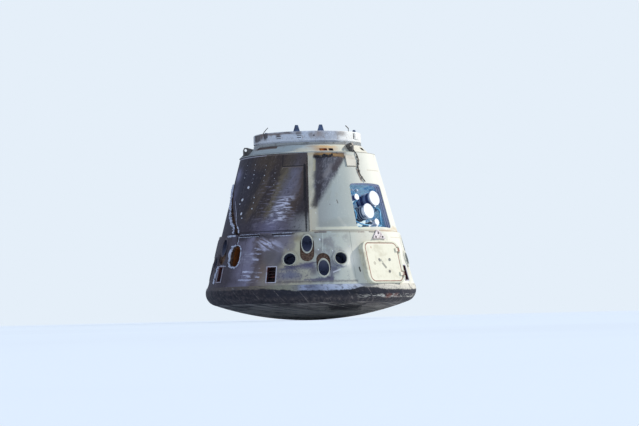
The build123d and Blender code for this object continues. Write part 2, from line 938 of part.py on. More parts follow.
def hatch_sill():
    """Flat plate under the berthing ring, with the hatch opening and the fixed hinge lugs."""
    foot = deck_top_height()
    top = foot + sill_thickness
    plate = turned([(0, foot), (ring_outer_radius, foot), (ring_outer_radius, top), (0, top)])
    plate -= rounded_block(
        Plane.XY.offset(foot), sill_opening, sill_opening, sill_corner, cut_margin, sill_thickness + cut_margin
    )
    axis_height = hatch_axis_height()
    for side in (-1, 1):
        for end in (-1, 1):
            x = side * hatch_lug_offset + end * lug_plate_offset()
            lug_rise = axis_height + knuckle_radius - top + weld_depth
            lug = Box(lug_plate_thickness, 2 * knuckle_radius, lug_rise,
                      align=(Align.CENTER, Align.CENTER, Align.MIN))
            plate += Pos(x, hatch_axis_setback, top - weld_depth) * lug
        pin = Rot(0, 90, 0) * Cylinder(pin_radius, 2 * lug_plate_offset())
        plate += Pos(side * hatch_lug_offset, hatch_axis_setback, axis_height) * pin
    return plate


def hatch_foot_height():
    return deck_top_height() + sill_thickness + hatch_seat_gap


def hatch_axis_height():
    return hatch_foot_height() + hatch_axis_rise


def forward_hatch():
    foot = hatch_foot_height()
    base = Plane.XY.offset(foot)
    lid = rounded_block(base, hatch_width, hatch_width, hatch_corner, 0, hatch_thickness)
    lid = fillet(lid.faces().sort_by(Axis.Z)[-1].edges(), hatch_edge_radius)
    dish = rounded_block(
        base, hatch_dish_width, hatch_dish_width, hatch_dish_corner,
        -(hatch_thickness - hatch_dish_depth), hatch_thickness + cut_margin,
    )
    lid -= dish
    axis_height = hatch_axis_height()
    post_height = axis_height - foot - hatch_thickness + weld_depth
    for side in (-1, 1):
        x = side * hatch_lug_offset
        centre = Pos(x, hatch_axis_setback, axis_height)
        knuckle = Rot(0, 90, 0) * Cylinder(knuckle_radius, knuckle_length)
        arm = Box(knuckle_length, hatch_axis_margin + hatch_arm_run, hatch_arm_thickness,
                  align=(Align.CENTER, Align.MAX, Align.CENTER))
        post = Box(knuckle_length, hatch_post_width, post_height, align=(Align.CENTER, Align.MIN, Align.MIN))
        lid += centre * knuckle
        lid += centre * arm
        lid += Pos(x, hatch_width / 2 - hatch_arm_run, foot + hatch_thickness - weld_depth) * post
        bore = Rot(0, 90, 0) * Cylinder(pin_radius + pin_gap, knuckle_length + cut_margin)
        lid -= centre * bore
    return lid


def berthing_ring():
    """Ring that the capsule docks by, with bolt holes in its flat top."""
    foot = deck_top_height() + sill_thickness
    top = foot + ring_height
    ring = turned([
        (ring_inner_radius, foot),
        (ring_neck_radius, foot),
        (ring_neck_radius, foot + ring_neck_height),
        (ring_outer_radius, foot + ring_neck_height),
        (ring_outer_radius, top - ring_bevel),
        (ring_outer_radius - ring_bevel, top),
        (ring_inner_radius, top),
    ])
    holes = []
    for index in range(bolt_count):
        turn = (index + 0.5) * 360 / bolt_count
        hole = Cylinder(bolt_radius, bolt_depth + cut_margin, align=(Align.CENTER, Align.CENTER, Align.MIN))
        holes.append(Rot(0, 0, turn) * Pos(bolt_circle_radius, 0, top - bolt_depth) * hole)
    ring -= holes
    for azimuth, foot_drop, top_drop, width in ring_blocks:
        depth = 2 * ring_block_rise
        block = Box(depth, width, foot_drop - top_drop, align=(Align.CENTER, Align.CENTER, Align.MIN))
        block = chamfer(block.edges(), ring_block_bevel)
        ring += Rot(0, 0, azimuth - 90) * Pos(ring_outer_radius, 0, top - foot_drop) * block
    for first, last, foot_drop, top_drop, depth in ring_recesses:
        inner = ring_outer_radius - depth
        outer = ring_outer_radius + ring_block_rise + cut_margin
        low = top - foot_drop
        high = top - top_drop
        ring -= turned([(inner, low), (outer, low), (outer, high), (inner, high)], first, last)
    return ring


def ring_top_height():
    return deck_top_height() + sill_thickness + ring_height


def guide_tab(azimuth):
    """Tapered tab that stands on the berthing ring's top."""
    foot = guide_tab_width / 2
    tip = guide_tab_tip / 2
    rise = guide_tab_rise
    profile = make_face(Polyline((-foot, 0), (foot, 0), (tip, rise), (-tip, rise), close=True))
    plane = wall_plane(azimuth, ring_top_height(), ring_outer_radius - guide_tab_inset, 0)
    return extrude(plane * profile, amount=-guide_tab_thickness)


def deck_envelope():
    """Solid under the deck's outer faces, filled in to the axis."""
    outer = deck_corners()[:4]
    return turned([(0, cabin_top_height)] + outer + [(0, deck_top_height())])


def lifting_lug(azimuth):
    """Upright ear on the deck's slope, with a hole for a shackle."""
    hole_height = lug_hole_height()
    outline = make_face(Polyline(
        (lug_hole_distance - lug_reach, cabin_top_height + deck_edge_thickness),
        (lug_hole_distance + lug_eye_radius, cabin_top_height + deck_edge_thickness),
        (lug_hole_distance + lug_eye_radius, hole_height),
        (lug_hole_distance + lug_eye_radius / 2, hole_height + lug_eye_radius),
        (lug_hole_distance - lug_eye_radius / 2, hole_height + lug_eye_radius),
        (lug_hole_distance - lug_reach, hole_height + lug_eye_radius / 3),
        close=True,
    ))
    outline -= Pos(lug_hole_distance, hole_height) * Circle(lug_hole_radius)
    ear = extrude(Plane.XZ * outline, amount=lug_thickness / 2, both=True)
    return Rot(0, 0, azimuth - 90) * ear - deck_envelope()


def lug_hole_height():
    return deck_top_height() - lug_hole_drop


def stay_bracket():
    """Three-cornered bracket on the wall above the equipment bay."""
    plane = service_plane(stay_azimuth, stay_height)
    foot = stay_width / 2
    tip = stay_tip_width / 2
    rise = stay_length / 2
    outline = make_face(Polyline((-foot, -rise), (foot, -rise), (tip, rise), (-tip, rise), close=True))
    plate = extrude(plane.offset(-stay_thickness) * outline, amount=2 * stay_thickness)
    for side in (-1, 1):
        outer = stay_thickness + cut_margin
        plate -= rod(plane, side * foot / 2, -rise / 2, stay_hole_radius, stay_thickness, outer)
    return plate - skin_trim(0)


def build():
    os.makedirs("parts", exist_ok=True)
    save("heat_shield", heat_shield())
    save("shoulder_ring", shoulder_ring())
    for name, first, last in service_panels:
        save("service_wall_" + name, service_wall(first, last))
    for name, first, last in cabin_panels:
        panel = cabin_wall(first, last)
        if name == ridge_panel:
            panel += seam_ridge(first)
        save("cabin_wall_" + name, panel)
    save("cabin_floor", cabin_floor())
    for name, middle, outlying in pods:
        save("thruster_pod_" + name, thruster_pod(middle, outlying))
    save("vent_boxes", Compound([vent_box(azimuth, height) for azimuth, height in vents()]))
    save("riser_pocket", riser_pocket())
    save("equipment_bay", equipment_bay())
    save("equipment_door", equipment_door())
    save("parachute_bay", parachute_bay())
    for name, x, y, reach in mortars:
        save("mortar_" + name, mortar(x, y, reach))
    fittings = [canister(x, y, radius, reach) for x, y, radius, reach in canisters]
    save("bay_fittings", Compound(fittings + [bay_bar()]))
    save("top_deck", top_deck())
    save("hatch_sill", hatch_sill())
    save("forward_hatch", forward_hatch())
    save("berthing_ring", berthing_ring())
    save("guide_tabs", Compound([guide_tab(azimuth) for azimuth in guide_tab_azimuths]))
    for name, azimuth in lug_azimuths:
        save("lifting_lug_" + name, lifting_lug(azimuth))
    save("stay_bracket", stay_bracket())


build()
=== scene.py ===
import math
import random

import bmesh
import bpy
from mathutils import Matrix, Vector


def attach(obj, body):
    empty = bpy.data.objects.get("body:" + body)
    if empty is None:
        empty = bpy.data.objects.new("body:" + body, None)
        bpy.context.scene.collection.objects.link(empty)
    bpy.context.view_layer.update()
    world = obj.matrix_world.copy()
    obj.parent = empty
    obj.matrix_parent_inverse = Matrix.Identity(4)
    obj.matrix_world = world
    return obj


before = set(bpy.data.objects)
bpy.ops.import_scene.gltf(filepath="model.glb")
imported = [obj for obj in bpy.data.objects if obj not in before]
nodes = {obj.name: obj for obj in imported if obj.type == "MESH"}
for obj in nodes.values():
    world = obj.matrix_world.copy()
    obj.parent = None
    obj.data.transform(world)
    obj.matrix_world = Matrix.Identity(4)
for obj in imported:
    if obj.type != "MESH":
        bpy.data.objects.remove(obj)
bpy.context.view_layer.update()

# Lengths are metres and azimuths degrees, counted from -Y, the front, towards +X.
ledge_height, ledge_width = 1.473, 0.0337
deck_height, deck_radius = 2.835, 1.1736
deck_top_height, deck_top_radius, deck_slant = 2.993, 0.95, 0.112 / 0.122
ring_radius = 0.938
rim_tiles = 28
cabin_middle, service_middle, deck_middle = 1.34, 1.68, 1.05
door_place, door_size = (46, 0.943, 0.035), (0.79, 0.673)
chute_place = (50, 1.933, 0)
riser_hole = (-49.5, 1.105, 0.29, 0.39)
degrees_in_radian, radians_in_degree = 57.29578, 0.0174533


# A wall is the radius and the height of its foot, and its slope.
def radius_on(wall, height):
    """Radius of a wall at a height."""
    foot_radius, foot_height, slope = wall
    return foot_radius - (height - foot_height) * math.tan(math.radians(slope))


service_wall = (1.778, 0.65, 14.2)
cabin_radius = radius_on(service_wall, ledge_height) - ledge_width
cabin_slope = math.degrees(math.atan2(cabin_radius - deck_radius, deck_height - ledge_height))
cabin_wall = (cabin_radius, ledge_height, cabin_slope)


def around(azimuth, radius, height):
    """The point at an azimuth, radius and height."""
    angle = math.radians(azimuth)
    return Vector((radius * math.sin(angle), -radius * math.cos(angle), height))


def wall_frame(azimuth, height, lift=0.0):
    """Matrix of a plane on the wall: x along larger azimuths, y up the slope, z outwards."""
    wall = service_wall if height < ledge_height else cabin_wall
    angle, lean = math.radians(azimuth), math.radians(wall[2])
    across = Vector((math.cos(angle), math.sin(angle), 0))
    outwards = Vector((math.sin(angle) * math.cos(lean), -math.cos(angle) * math.cos(lean), math.sin(lean)))
    matrix = Matrix((across, outwards.cross(across), outwards)).transposed().to_4x4()
    matrix.translation = around(azimuth, radius_on(wall, height), height) + outwards * lift
    return matrix


# Camera: from the floor, far away, with a slight roll
photo_width = 639
pixels_per_metre = 57.43
camera_distance = 38.0
camera_height = 0.03
camera_roll = 1.4
sensor_width = 36.0
aim = Vector((0.182, 0, 1.86))

scene = bpy.context.scene
scene.view_settings.view_transform = "Standard"
camera_data = bpy.data.cameras.new("photo")
camera_data.sensor_width = sensor_width
camera_data.lens = sensor_width * pixels_per_metre * camera_distance / photo_width
camera_data.clip_end = 400
camera = bpy.data.objects.new("photo", camera_data)
scene.collection.objects.link(camera)
camera_place = Vector((aim.x, -camera_distance, camera_height))
look = (aim - camera_place).to_track_quat("-Z", "Y").to_matrix().to_4x4()
rolled = look @ Matrix.Rotation(math.radians(-camera_roll), 4, "Z")
camera.matrix_world = Matrix.Translation(camera_place) @ rolled
scene.camera = camera


# Colours and node materials. Colours are display colours, counted 0 to 255.
def linear(colour):
    """Scene-linear colour of a display colour."""
    parts = [value / 255 for value in colour]
    return (*(part / 12.92 if part < 0.04 else ((part + 0.055) / 1.055) ** 2.4 for part in parts), 1)


def feed(socket, value):
    """Links a field to a socket, or sets a plain value on it."""
    if isinstance(value, Field):
        socket.id_data.links.new(value.socket, socket)
    else:
        socket.default_value = value


def add_node(tree, kind, values=()):
    """A new shader node with its first inputs fed."""
    node = tree.nodes.new("ShaderNode" + kind)
    for socket, value in zip(node.inputs, values):
        feed(socket, value)
    return node


class Field:
    """A number or colour at each point of a surface: the output of a node."""

    def __init__(self, socket):
        self.socket = socket
        self.tree = socket.id_data

    def math(self, operation, *values):
        node = add_node(self.tree, "Math", values)
        node.operation = operation
        return Field(node.outputs[0])

    def __add__(self, other):
        return self.math("ADD", self, other)

    def __sub__(self, other):
        return self.math("SUBTRACT", self, other)

    def __rsub__(self, other):
        return self.math("SUBTRACT", other, self)

    def __mul__(self, other):
        return self.math("MULTIPLY", self, other)

    def __abs__(self):
        return self.math("ABSOLUTE", self)

    def at_least(self, other):
        return self.math("MAXIMUM", self, other)

    def fraction(self):
        return self.math("FRACT", self)

    def reach(self, other):
        """Distance of the place (self, other) from nought."""
        return self.math("SQRT", self * self + other * other)

    def steps(self, start, end):
        """0 at start and 1 at end, smooth between them."""
        limits = (start, end, 0, 1) if start <= end else (end, start, 1, 0)
        node = add_node(self.tree, "MapRange", (self, *limits))
        node.interpolation_type = "SMOOTHSTEP"
        return Field(node.outputs[0])

    def band(self, low, high, soft):
        """1 between low and high, fading over soft on both sides."""
        return self.steps(low - soft, low + soft) * self.steps(high + soft, high - soft)

    def shifted(self, noise, reach):
        """This value pushed up or down by a noise, by up to half of reach."""
        return self + (noise * reach + -reach / 2)

    def ramp(self, stops, low=0.0, high=1.0):
        """Colours between stops, each a place from low to high and a colour."""
        spread = add_node(self.tree, "MapRange", (self, low, high))
        node = add_node(self.tree, "ValToRGB", (Field(spread.outputs[0]),))
        elements = node.color_ramp.elements
        while len(elements) < len(stops):
            elements.new(0.5)
        for element, (place, colour) in zip(elements, stops):
            element.position = (place - low) / (high - low)
            element.color = linear(colour)
        return Field(node.outputs[0])


def mix(share, first, second):
    """Blends two colours, each a field or a plain colour."""
    node = share.tree.nodes.new("ShaderNodeMix")
    node.data_type = "RGBA"
    feed(node.inputs[0], share)
    for socket, colour in ((6, first), (7, second)):
        feed(node.inputs[socket], colour if isinstance(colour, Field) else linear(colour))
    return Field(node.outputs[2])


def wash(colour, rows):
    """Lays colours over another. Each row is a field, where it starts and ends, share in percent, colour."""
    for field, start, end, share, tint in rows:
        colour = mix(field.steps(start, end) * (share / 100), colour, tint)
    return colour


def patches(colour, azimuth, height, rows):
    """Lays soft patches. Each row is azimuth, height, half width in degrees, half height in millimetres,
    softness of the edges, colour and share in percent."""
    for at, level, half_width, half_height, soft, tint, share in rows:
        half_height /= 1000
        across = azimuth.band(at - half_width, at + half_width, half_width * soft)
        along = height.band(level - half_height, level + half_height, half_height * soft)
        colour = mix(across * along * (share / 100), colour, tint)
    return colour


class Shade:
    """A procedural material that is built step by step."""

    def __init__(self, name, metallic=0.0):
        self.material = bpy.data.materials.new(name)
        self.material.use_nodes = True
        self.tree = self.material.node_tree
        self.surface = self.tree.nodes["Principled BSDF"]
        self.surface.inputs["Metallic"].default_value = metallic
        self.place = Field(add_node(self.tree, "TexCoord").outputs["Object"])
        split = add_node(self.tree, "SeparateXYZ", (self.place,))
        self.x, self.y, self.z = (Field(socket) for socket in split.outputs)
        self.azimuth = self.x.math("ARCTAN2", self.x, self.y * -1) * degrees_in_radian
        self.radius = self.x.reach(self.y)

    def noise(self, scale, detail, rough, warp=0.0, place=None):
        node = add_node(self.tree, "TexNoise")
        for name, value in (("Vector", place or self.place), ("Scale", scale), ("Detail", detail),
                            ("Roughness", rough), ("Distortion", warp)):
            feed(node.inputs[name], value)
        return Field(node.outputs[0])

    def noise_at(self, x, y, z, detail, rough, warp=0.0):
        """Noise at a place of its own."""
        place = Field(add_node(self.tree, "CombineXYZ", (x, y, z)).outputs[0])
        return self.noise(1, detail, rough, warp, place)

    def streaks(self, slant, stretch, scale, detail=6.0, rough=0.6):
        """Noise drawn out up the wall, and slanted by degrees of azimuth per metre of height."""
        angle = self.slanted(slant, 0) * radians_in_degree
        place = add_node(self.tree, "CombineXYZ", (
            angle.math("SINE", angle), angle.math("COSINE", angle), self.z * stretch))
        return self.noise(scale, detail, rough, 0.2, Field(place.outputs[0]))

    def slanted(self, slant, height):
        """The azimuth at which a slanted streak through this point crosses a height."""
        return (self.z - height) * -slant + self.azimuth

    def scratches(self, length, thickness):
        """Noise drawn out level: a run of lines of a length in degrees and a thickness in metres."""
        return self.noise_at(self.azimuth * (1 / length), 0, self.z * (1 / thickness), 3, 0.6)

    def under(self, wall):
        """How far this point lies inside a wall."""
        foot_radius, foot_height, slope = wall
        lean = math.tan(math.radians(slope))
        return self.z * -lean + (foot_radius + foot_height * lean) - self.radius

    def line(self, radius, start, end, half, soft, ragged, reach):
        """1 along a line between two places in metres on the wall, fading over soft past half its width."""
        length = math.dist(start, end)
        along = [(last - first) / length for first, last in zip(start, end)]
        x = self.azimuth * (radians_in_degree * radius) + -start[0]
        y = self.z - start[1]
        run = x * along[0] + y * along[1]
        run = run.math("MINIMUM", run.at_least(0), length)
        gap = (x + run * -along[0]).reach(y + run * -along[1])
        return gap.shifted(ragged, reach).steps(half + soft, half)

    def lines(self, colour, radius, ragged, rows, broken=1.0):
        """Draws lines. Each row is azimuth and height of both ends, then half width, softness and how
        ragged in millimetres, colour and share in percent."""
        for first, first_height, last, last_height, half, soft, reach, tint, share in rows:
            start = (math.radians(first) * radius, first_height)
            end = (math.radians(last) * radius, last_height)
            mask = self.line(radius, start, end, half / 1000, soft / 1000, ragged, reach / 1000)
            colour = mix(mask * (share / 100) * broken, colour, tint)
        return colour

    def on_plane(self, matrix):
        """Coordinates of this point in a plane's own frame."""
        rows = matrix.inverted()[:3]
        return [self.x * row[0] + row[3] + self.y * row[1] + self.z * row[2] for row in rows]

    def finish(self, colour, rough, bump=None, height=0.002, strength=0.6):
        feed(self.surface.inputs["Base Color"], colour)
        feed(self.surface.inputs["Roughness"], rough)
        if bump:
            node = add_node(self.tree, "Bump")
            for name, value in (("Strength", strength), ("Distance", height), ("Height", bump)):
                feed(node.inputs[name], value)
            feed(self.surface.inputs["Normal"], Field(node.outputs[0]))
        return self.material


def cabin_paint():
    shade = Shade("cabin paint")
    slow = shade.streaks(17, 0.3, 7, 6, 0.65)
    fine = shade.streaks(17, 0.5, 34, 8, 0.72)
    cloud = shade.noise(2.8, 6, 0.62)
    speck = shade.noise(34, 8, 0.7)
    grain = shade.noise(120, 5, 0.7)
    level = shade.scratches(7, 0.03)
    azimuth = shade.azimuth.shifted(cloud, 8)
    height = shade.z.shifted(cloud, 0.24)
    slanted = shade.slanted(17, 2.2).shifted(slow, 16).shifted(fine, 7)

    # Charred side
    charred = slanted.ramp([
        (-96, (78, 76, 98)), (-80, (46, 43, 60)), (-64, (40, 37, 53)), (-50, (44, 38, 48)),
        (-43, (42, 34, 38)), (-37, (78, 64, 52)), (-33, (50, 39, 40)), (-28, (60, 48, 43)),
        (-24, (104, 92, 72)), (-20, (98, 92, 94)), (-15, (112, 108, 122)), (-10, (104, 96, 102)),
        (-7, (78, 62, 54)), (0, (52, 43, 46))], -96, 0)
    upper = shade.azimuth.ramp([
        (-90, (50, 44, 56)), (-55, (46, 38, 42)), (-40, (76, 60, 44)), (-28, (70, 56, 44)),
        (-20, (62, 49, 46)), (0, (70, 58, 52))], -90, 0)
    charred = mix(height.steps(2.48, 2.68) * 0.75, charred, upper)
    lower = azimuth.ramp([
        (-60, (50, 44, 56)), (-42, (58, 50, 62)), (-34, (84, 78, 100)), (-24, (112, 108, 132)),
        (-14, (98, 92, 102)), (-7, (138, 136, 136)), (0, (170, 168, 158))], -60, 0)
    charred = mix(height.steps(1.86, 1.6) * 0.85, charred, lower)
    charred = wash(charred, [
        (fine, 0.54, 0.7, 50, (124, 116, 118)),
        (fine, 0.47, 0.33, 70, (26, 21, 27)),
        (speck, 0.6, 0.76, 35, (150, 142, 148)),
        (speck, 0.43, 0.3, 45, (26, 21, 26)),
    ])
    scuffed = shade.slanted(16, 1.9).shifted(cloud, 9)
    scuffs = scuffed.band(-23, -12.5, 3) * height.band(1.68, 2.08, 0.08) * level.steps(0.47, 0.6)
    charred = mix(scuffs * 0.92, charred, (224, 224, 240))
    faint = azimuth.band(-36, -9, 6) * height.band(1.5, 2.35, 0.14) * level.steps(0.5, 0.68)
    charred = mix(faint * 0.45, charred, (158, 152, 170))
    charred = patches(charred, azimuth, height, [
        (-72, 2.52, 5.5, 90, 0.95, (134, 132, 162), 65), (-70, 2.2, 3.5, 140, 0.95, (90, 86, 112), 50),
        (-64, 1.8, 3, 100, 0.95, (92, 82, 96), 50),
    ])
    charred = shade.lines(charred, cabin_middle, speck, [
        (-66, 2.06, -60.3, 1.87, 2, 8, 20, (176, 172, 190), 80),
        (-60.3, 1.87, -57.5, 1.7, 3, 8, 20, (196, 194, 210), 85),
        (-57.5, 1.7, -51.5, 1.5, 2, 8, 20, (190, 188, 204), 80),
        (-19.6, 2.588, -3.2, 2.59, 4, 6, 10, (126, 110, 100), 60),
        (-20.4, 2.8, -19.9, 2.606, 5, 5, 6, (22, 16, 18), 95),
        (-19.9, 2.606, -3.2, 2.606, 6, 5, 8, (24, 17, 18), 95),
        (-2.4, 2.62, -2.5, 2.02, 14, 10, 14, (18, 14, 18), 95),
        (-2.5, 2.02, -1.7, 1.49, 5, 7, 12, (36, 30, 32), 90),
        (-86, 2.8, -36, 2.812, 3, 6, 14, (196, 194, 204), 65),
        (-36, 2.812, -8, 2.818, 2, 6, 14, (150, 138, 130), 50),
        (-59, 1.51, -5, 1.508, 4, 6, 12, (26, 20, 26), 85),
    ])

    # Pale side, with the dark smear under the deck
    # Own tone plus painted light: darker at the front, which the sun misses, lighter on the sunlit right.
    pale = shade.azimuth.ramp([
        (-180, (176, 174, 164)), (-110, (132, 126, 132)), (0, (210, 202, 180)), (4.5, (212, 204, 180)),
        (7, (168, 170, 164)), (18, (170, 178, 174)), (30, (176, 182, 174)), (42, (204, 204, 192)),
        (60, (224, 222, 208)), (150, (212, 210, 196)), (180, (176, 174, 164))], -180, 180)
    pale = wash(pale, [
        (slow, 0.54, 0.7, 30, (154, 156, 138)),
        (fine, 0.58, 0.72, 35, (232, 232, 218)),
        (speck, 0.62, 0.76, 25, (128, 118, 98)),
    ])
    drift = shade.azimuth.shifted(slow, 7).shifted(fine, 4)
    left_edge = drift - (shade.z * 2.4 + -1.6)
    right_edge = drift - (shade.z * 31.0 + -53)
    smear = left_edge.steps(0, 3) * right_edge.steps(2, -4) * shade.z.steps(1.86, 2.02)
    sooty = fine.ramp([(0.36, (40, 37, 46)), (0.5, (76, 75, 86)), (0.64, (118, 116, 124))])
    pale = mix(smear * 0.94, pale, sooty)
    pale = shade.lines(pale, cabin_middle, fine, [
        (4.2, 1.93, 8, 2.24, 14, 75, 90, (40, 34, 42), 85),
        (8, 2.24, 12, 2.44, 4, 75, 100, (48, 42, 50), 65),
        (7.5, 2.42, 9.5, 2.76, 30, 100, 120, (56, 49, 56), 75),
        (13, 2.43, 19, 2.6, 10, 60, 80, (150, 146, 148), 45),
        (21, 2.56, 29.5, 2.76, 14, 80, 90, (52, 44, 52), 85),
        (6, 2.765, 21.5, 2.79, 20, 30, 70, (34, 28, 34), 95),
        # Painted shade: a dark hole under the deck, at 23 to 30 degrees.
        (23, 2.79, 30, 2.79, 30, 24, 40, (38, 32, 42), 95),
        (5, 2.53, 5.6, 2.7, 12, 20, 20, (214, 202, 160), 50),
        (0.1, 2.79, 0.3, 1.5, 1, 7, 16, (84, 72, 68), 85),
        (14.5, 1.94, 14.9, 1.93, 4, 5, 8, (110, 100, 96), 70),
        (4.6, 1.8, 4.8, 1.79, 6, 6, 10, (228, 226, 214), 80),
        (20, 1.7, 24, 1.56, 6, 40, 60, (206, 206, 196), 40),
        # Painted shadow: a line just under the bay's cover plate.
        (33, 2.59, 42, 2.592, 3, 6, 6, (150, 132, 112), 80),
        (42, 2.54, 44, 2.35, 10, 20, 30, (150, 110, 86), 60),
        (20, 2.01, 20.6, 1.96, 6, 6, 8, (90, 82, 74), 70),
        (54, 2.54, 76, 2.545, 3, 8, 12, (176, 158, 134), 50),
        (5, 1.53, 42, 1.536, 14, 20, 20, (226, 224, 200), 80),
        (2, 1.493, 90, 1.493, 4, 8, 12, (150, 132, 108), 60),
    ])
    pale = patches(pale, azimuth, height, [
        (17, 2.8, 14, 30, 0.8, (206, 160, 92), 55), (16, 1.62, 9, 60, 0.9, (150, 152, 140), 45),
        (76, 1.52, 12, 30, 0.8, (196, 170, 130), 55), (58, 1.5, 6, 30, 0.8, (178, 140, 110), 45),
    ])

    left_side = shade.azimuth.steps(0.35, -0.35) * azimuth.steps(-166, -140)
    colour = mix(left_side, pale, charred)
    colour = wash(colour, [(grain, 0.58, 0.72, 14, (60, 54, 52))])

    # Cut edges: the sides of the parachute bay's mouth and of the torn channel
    under = shade.under(cabin_wall)
    sides = under.steps(0.005, 0.009) * shade.azimuth.band(24, 78, 1) * shade.z.band(1.5, 2.4, 0.01)
    # The cut skin's own layers, painted far lighter as painted light, since these sides lie in shade.
    layers_and_painted_light = under.shifted(fine, 0.01).ramp([
        (0, (220, 218, 214)), (0.012, (206, 200, 216)), (0.03, (132, 136, 168)),
        (0.046, (232, 230, 240)), (0.06, (126, 134, 172)), (0.085, (214, 218, 234)),
        (0.12, (110, 122, 166))], 0, 0.12)
    colour = mix(sides, colour, layers_and_painted_light)
    channel = under.band(0.006, 0.08, 0.002) * shade.azimuth.band(-96, -44, 2)
    colour = mix(channel, colour, fine.ramp([(0.4, (44, 34, 34)), (0.6, (112, 84, 66))]))
    return shade.finish(colour, speck * 0.25 + 0.6, speck * 0.6 + fine * 0.9, 0.006, 0.55)


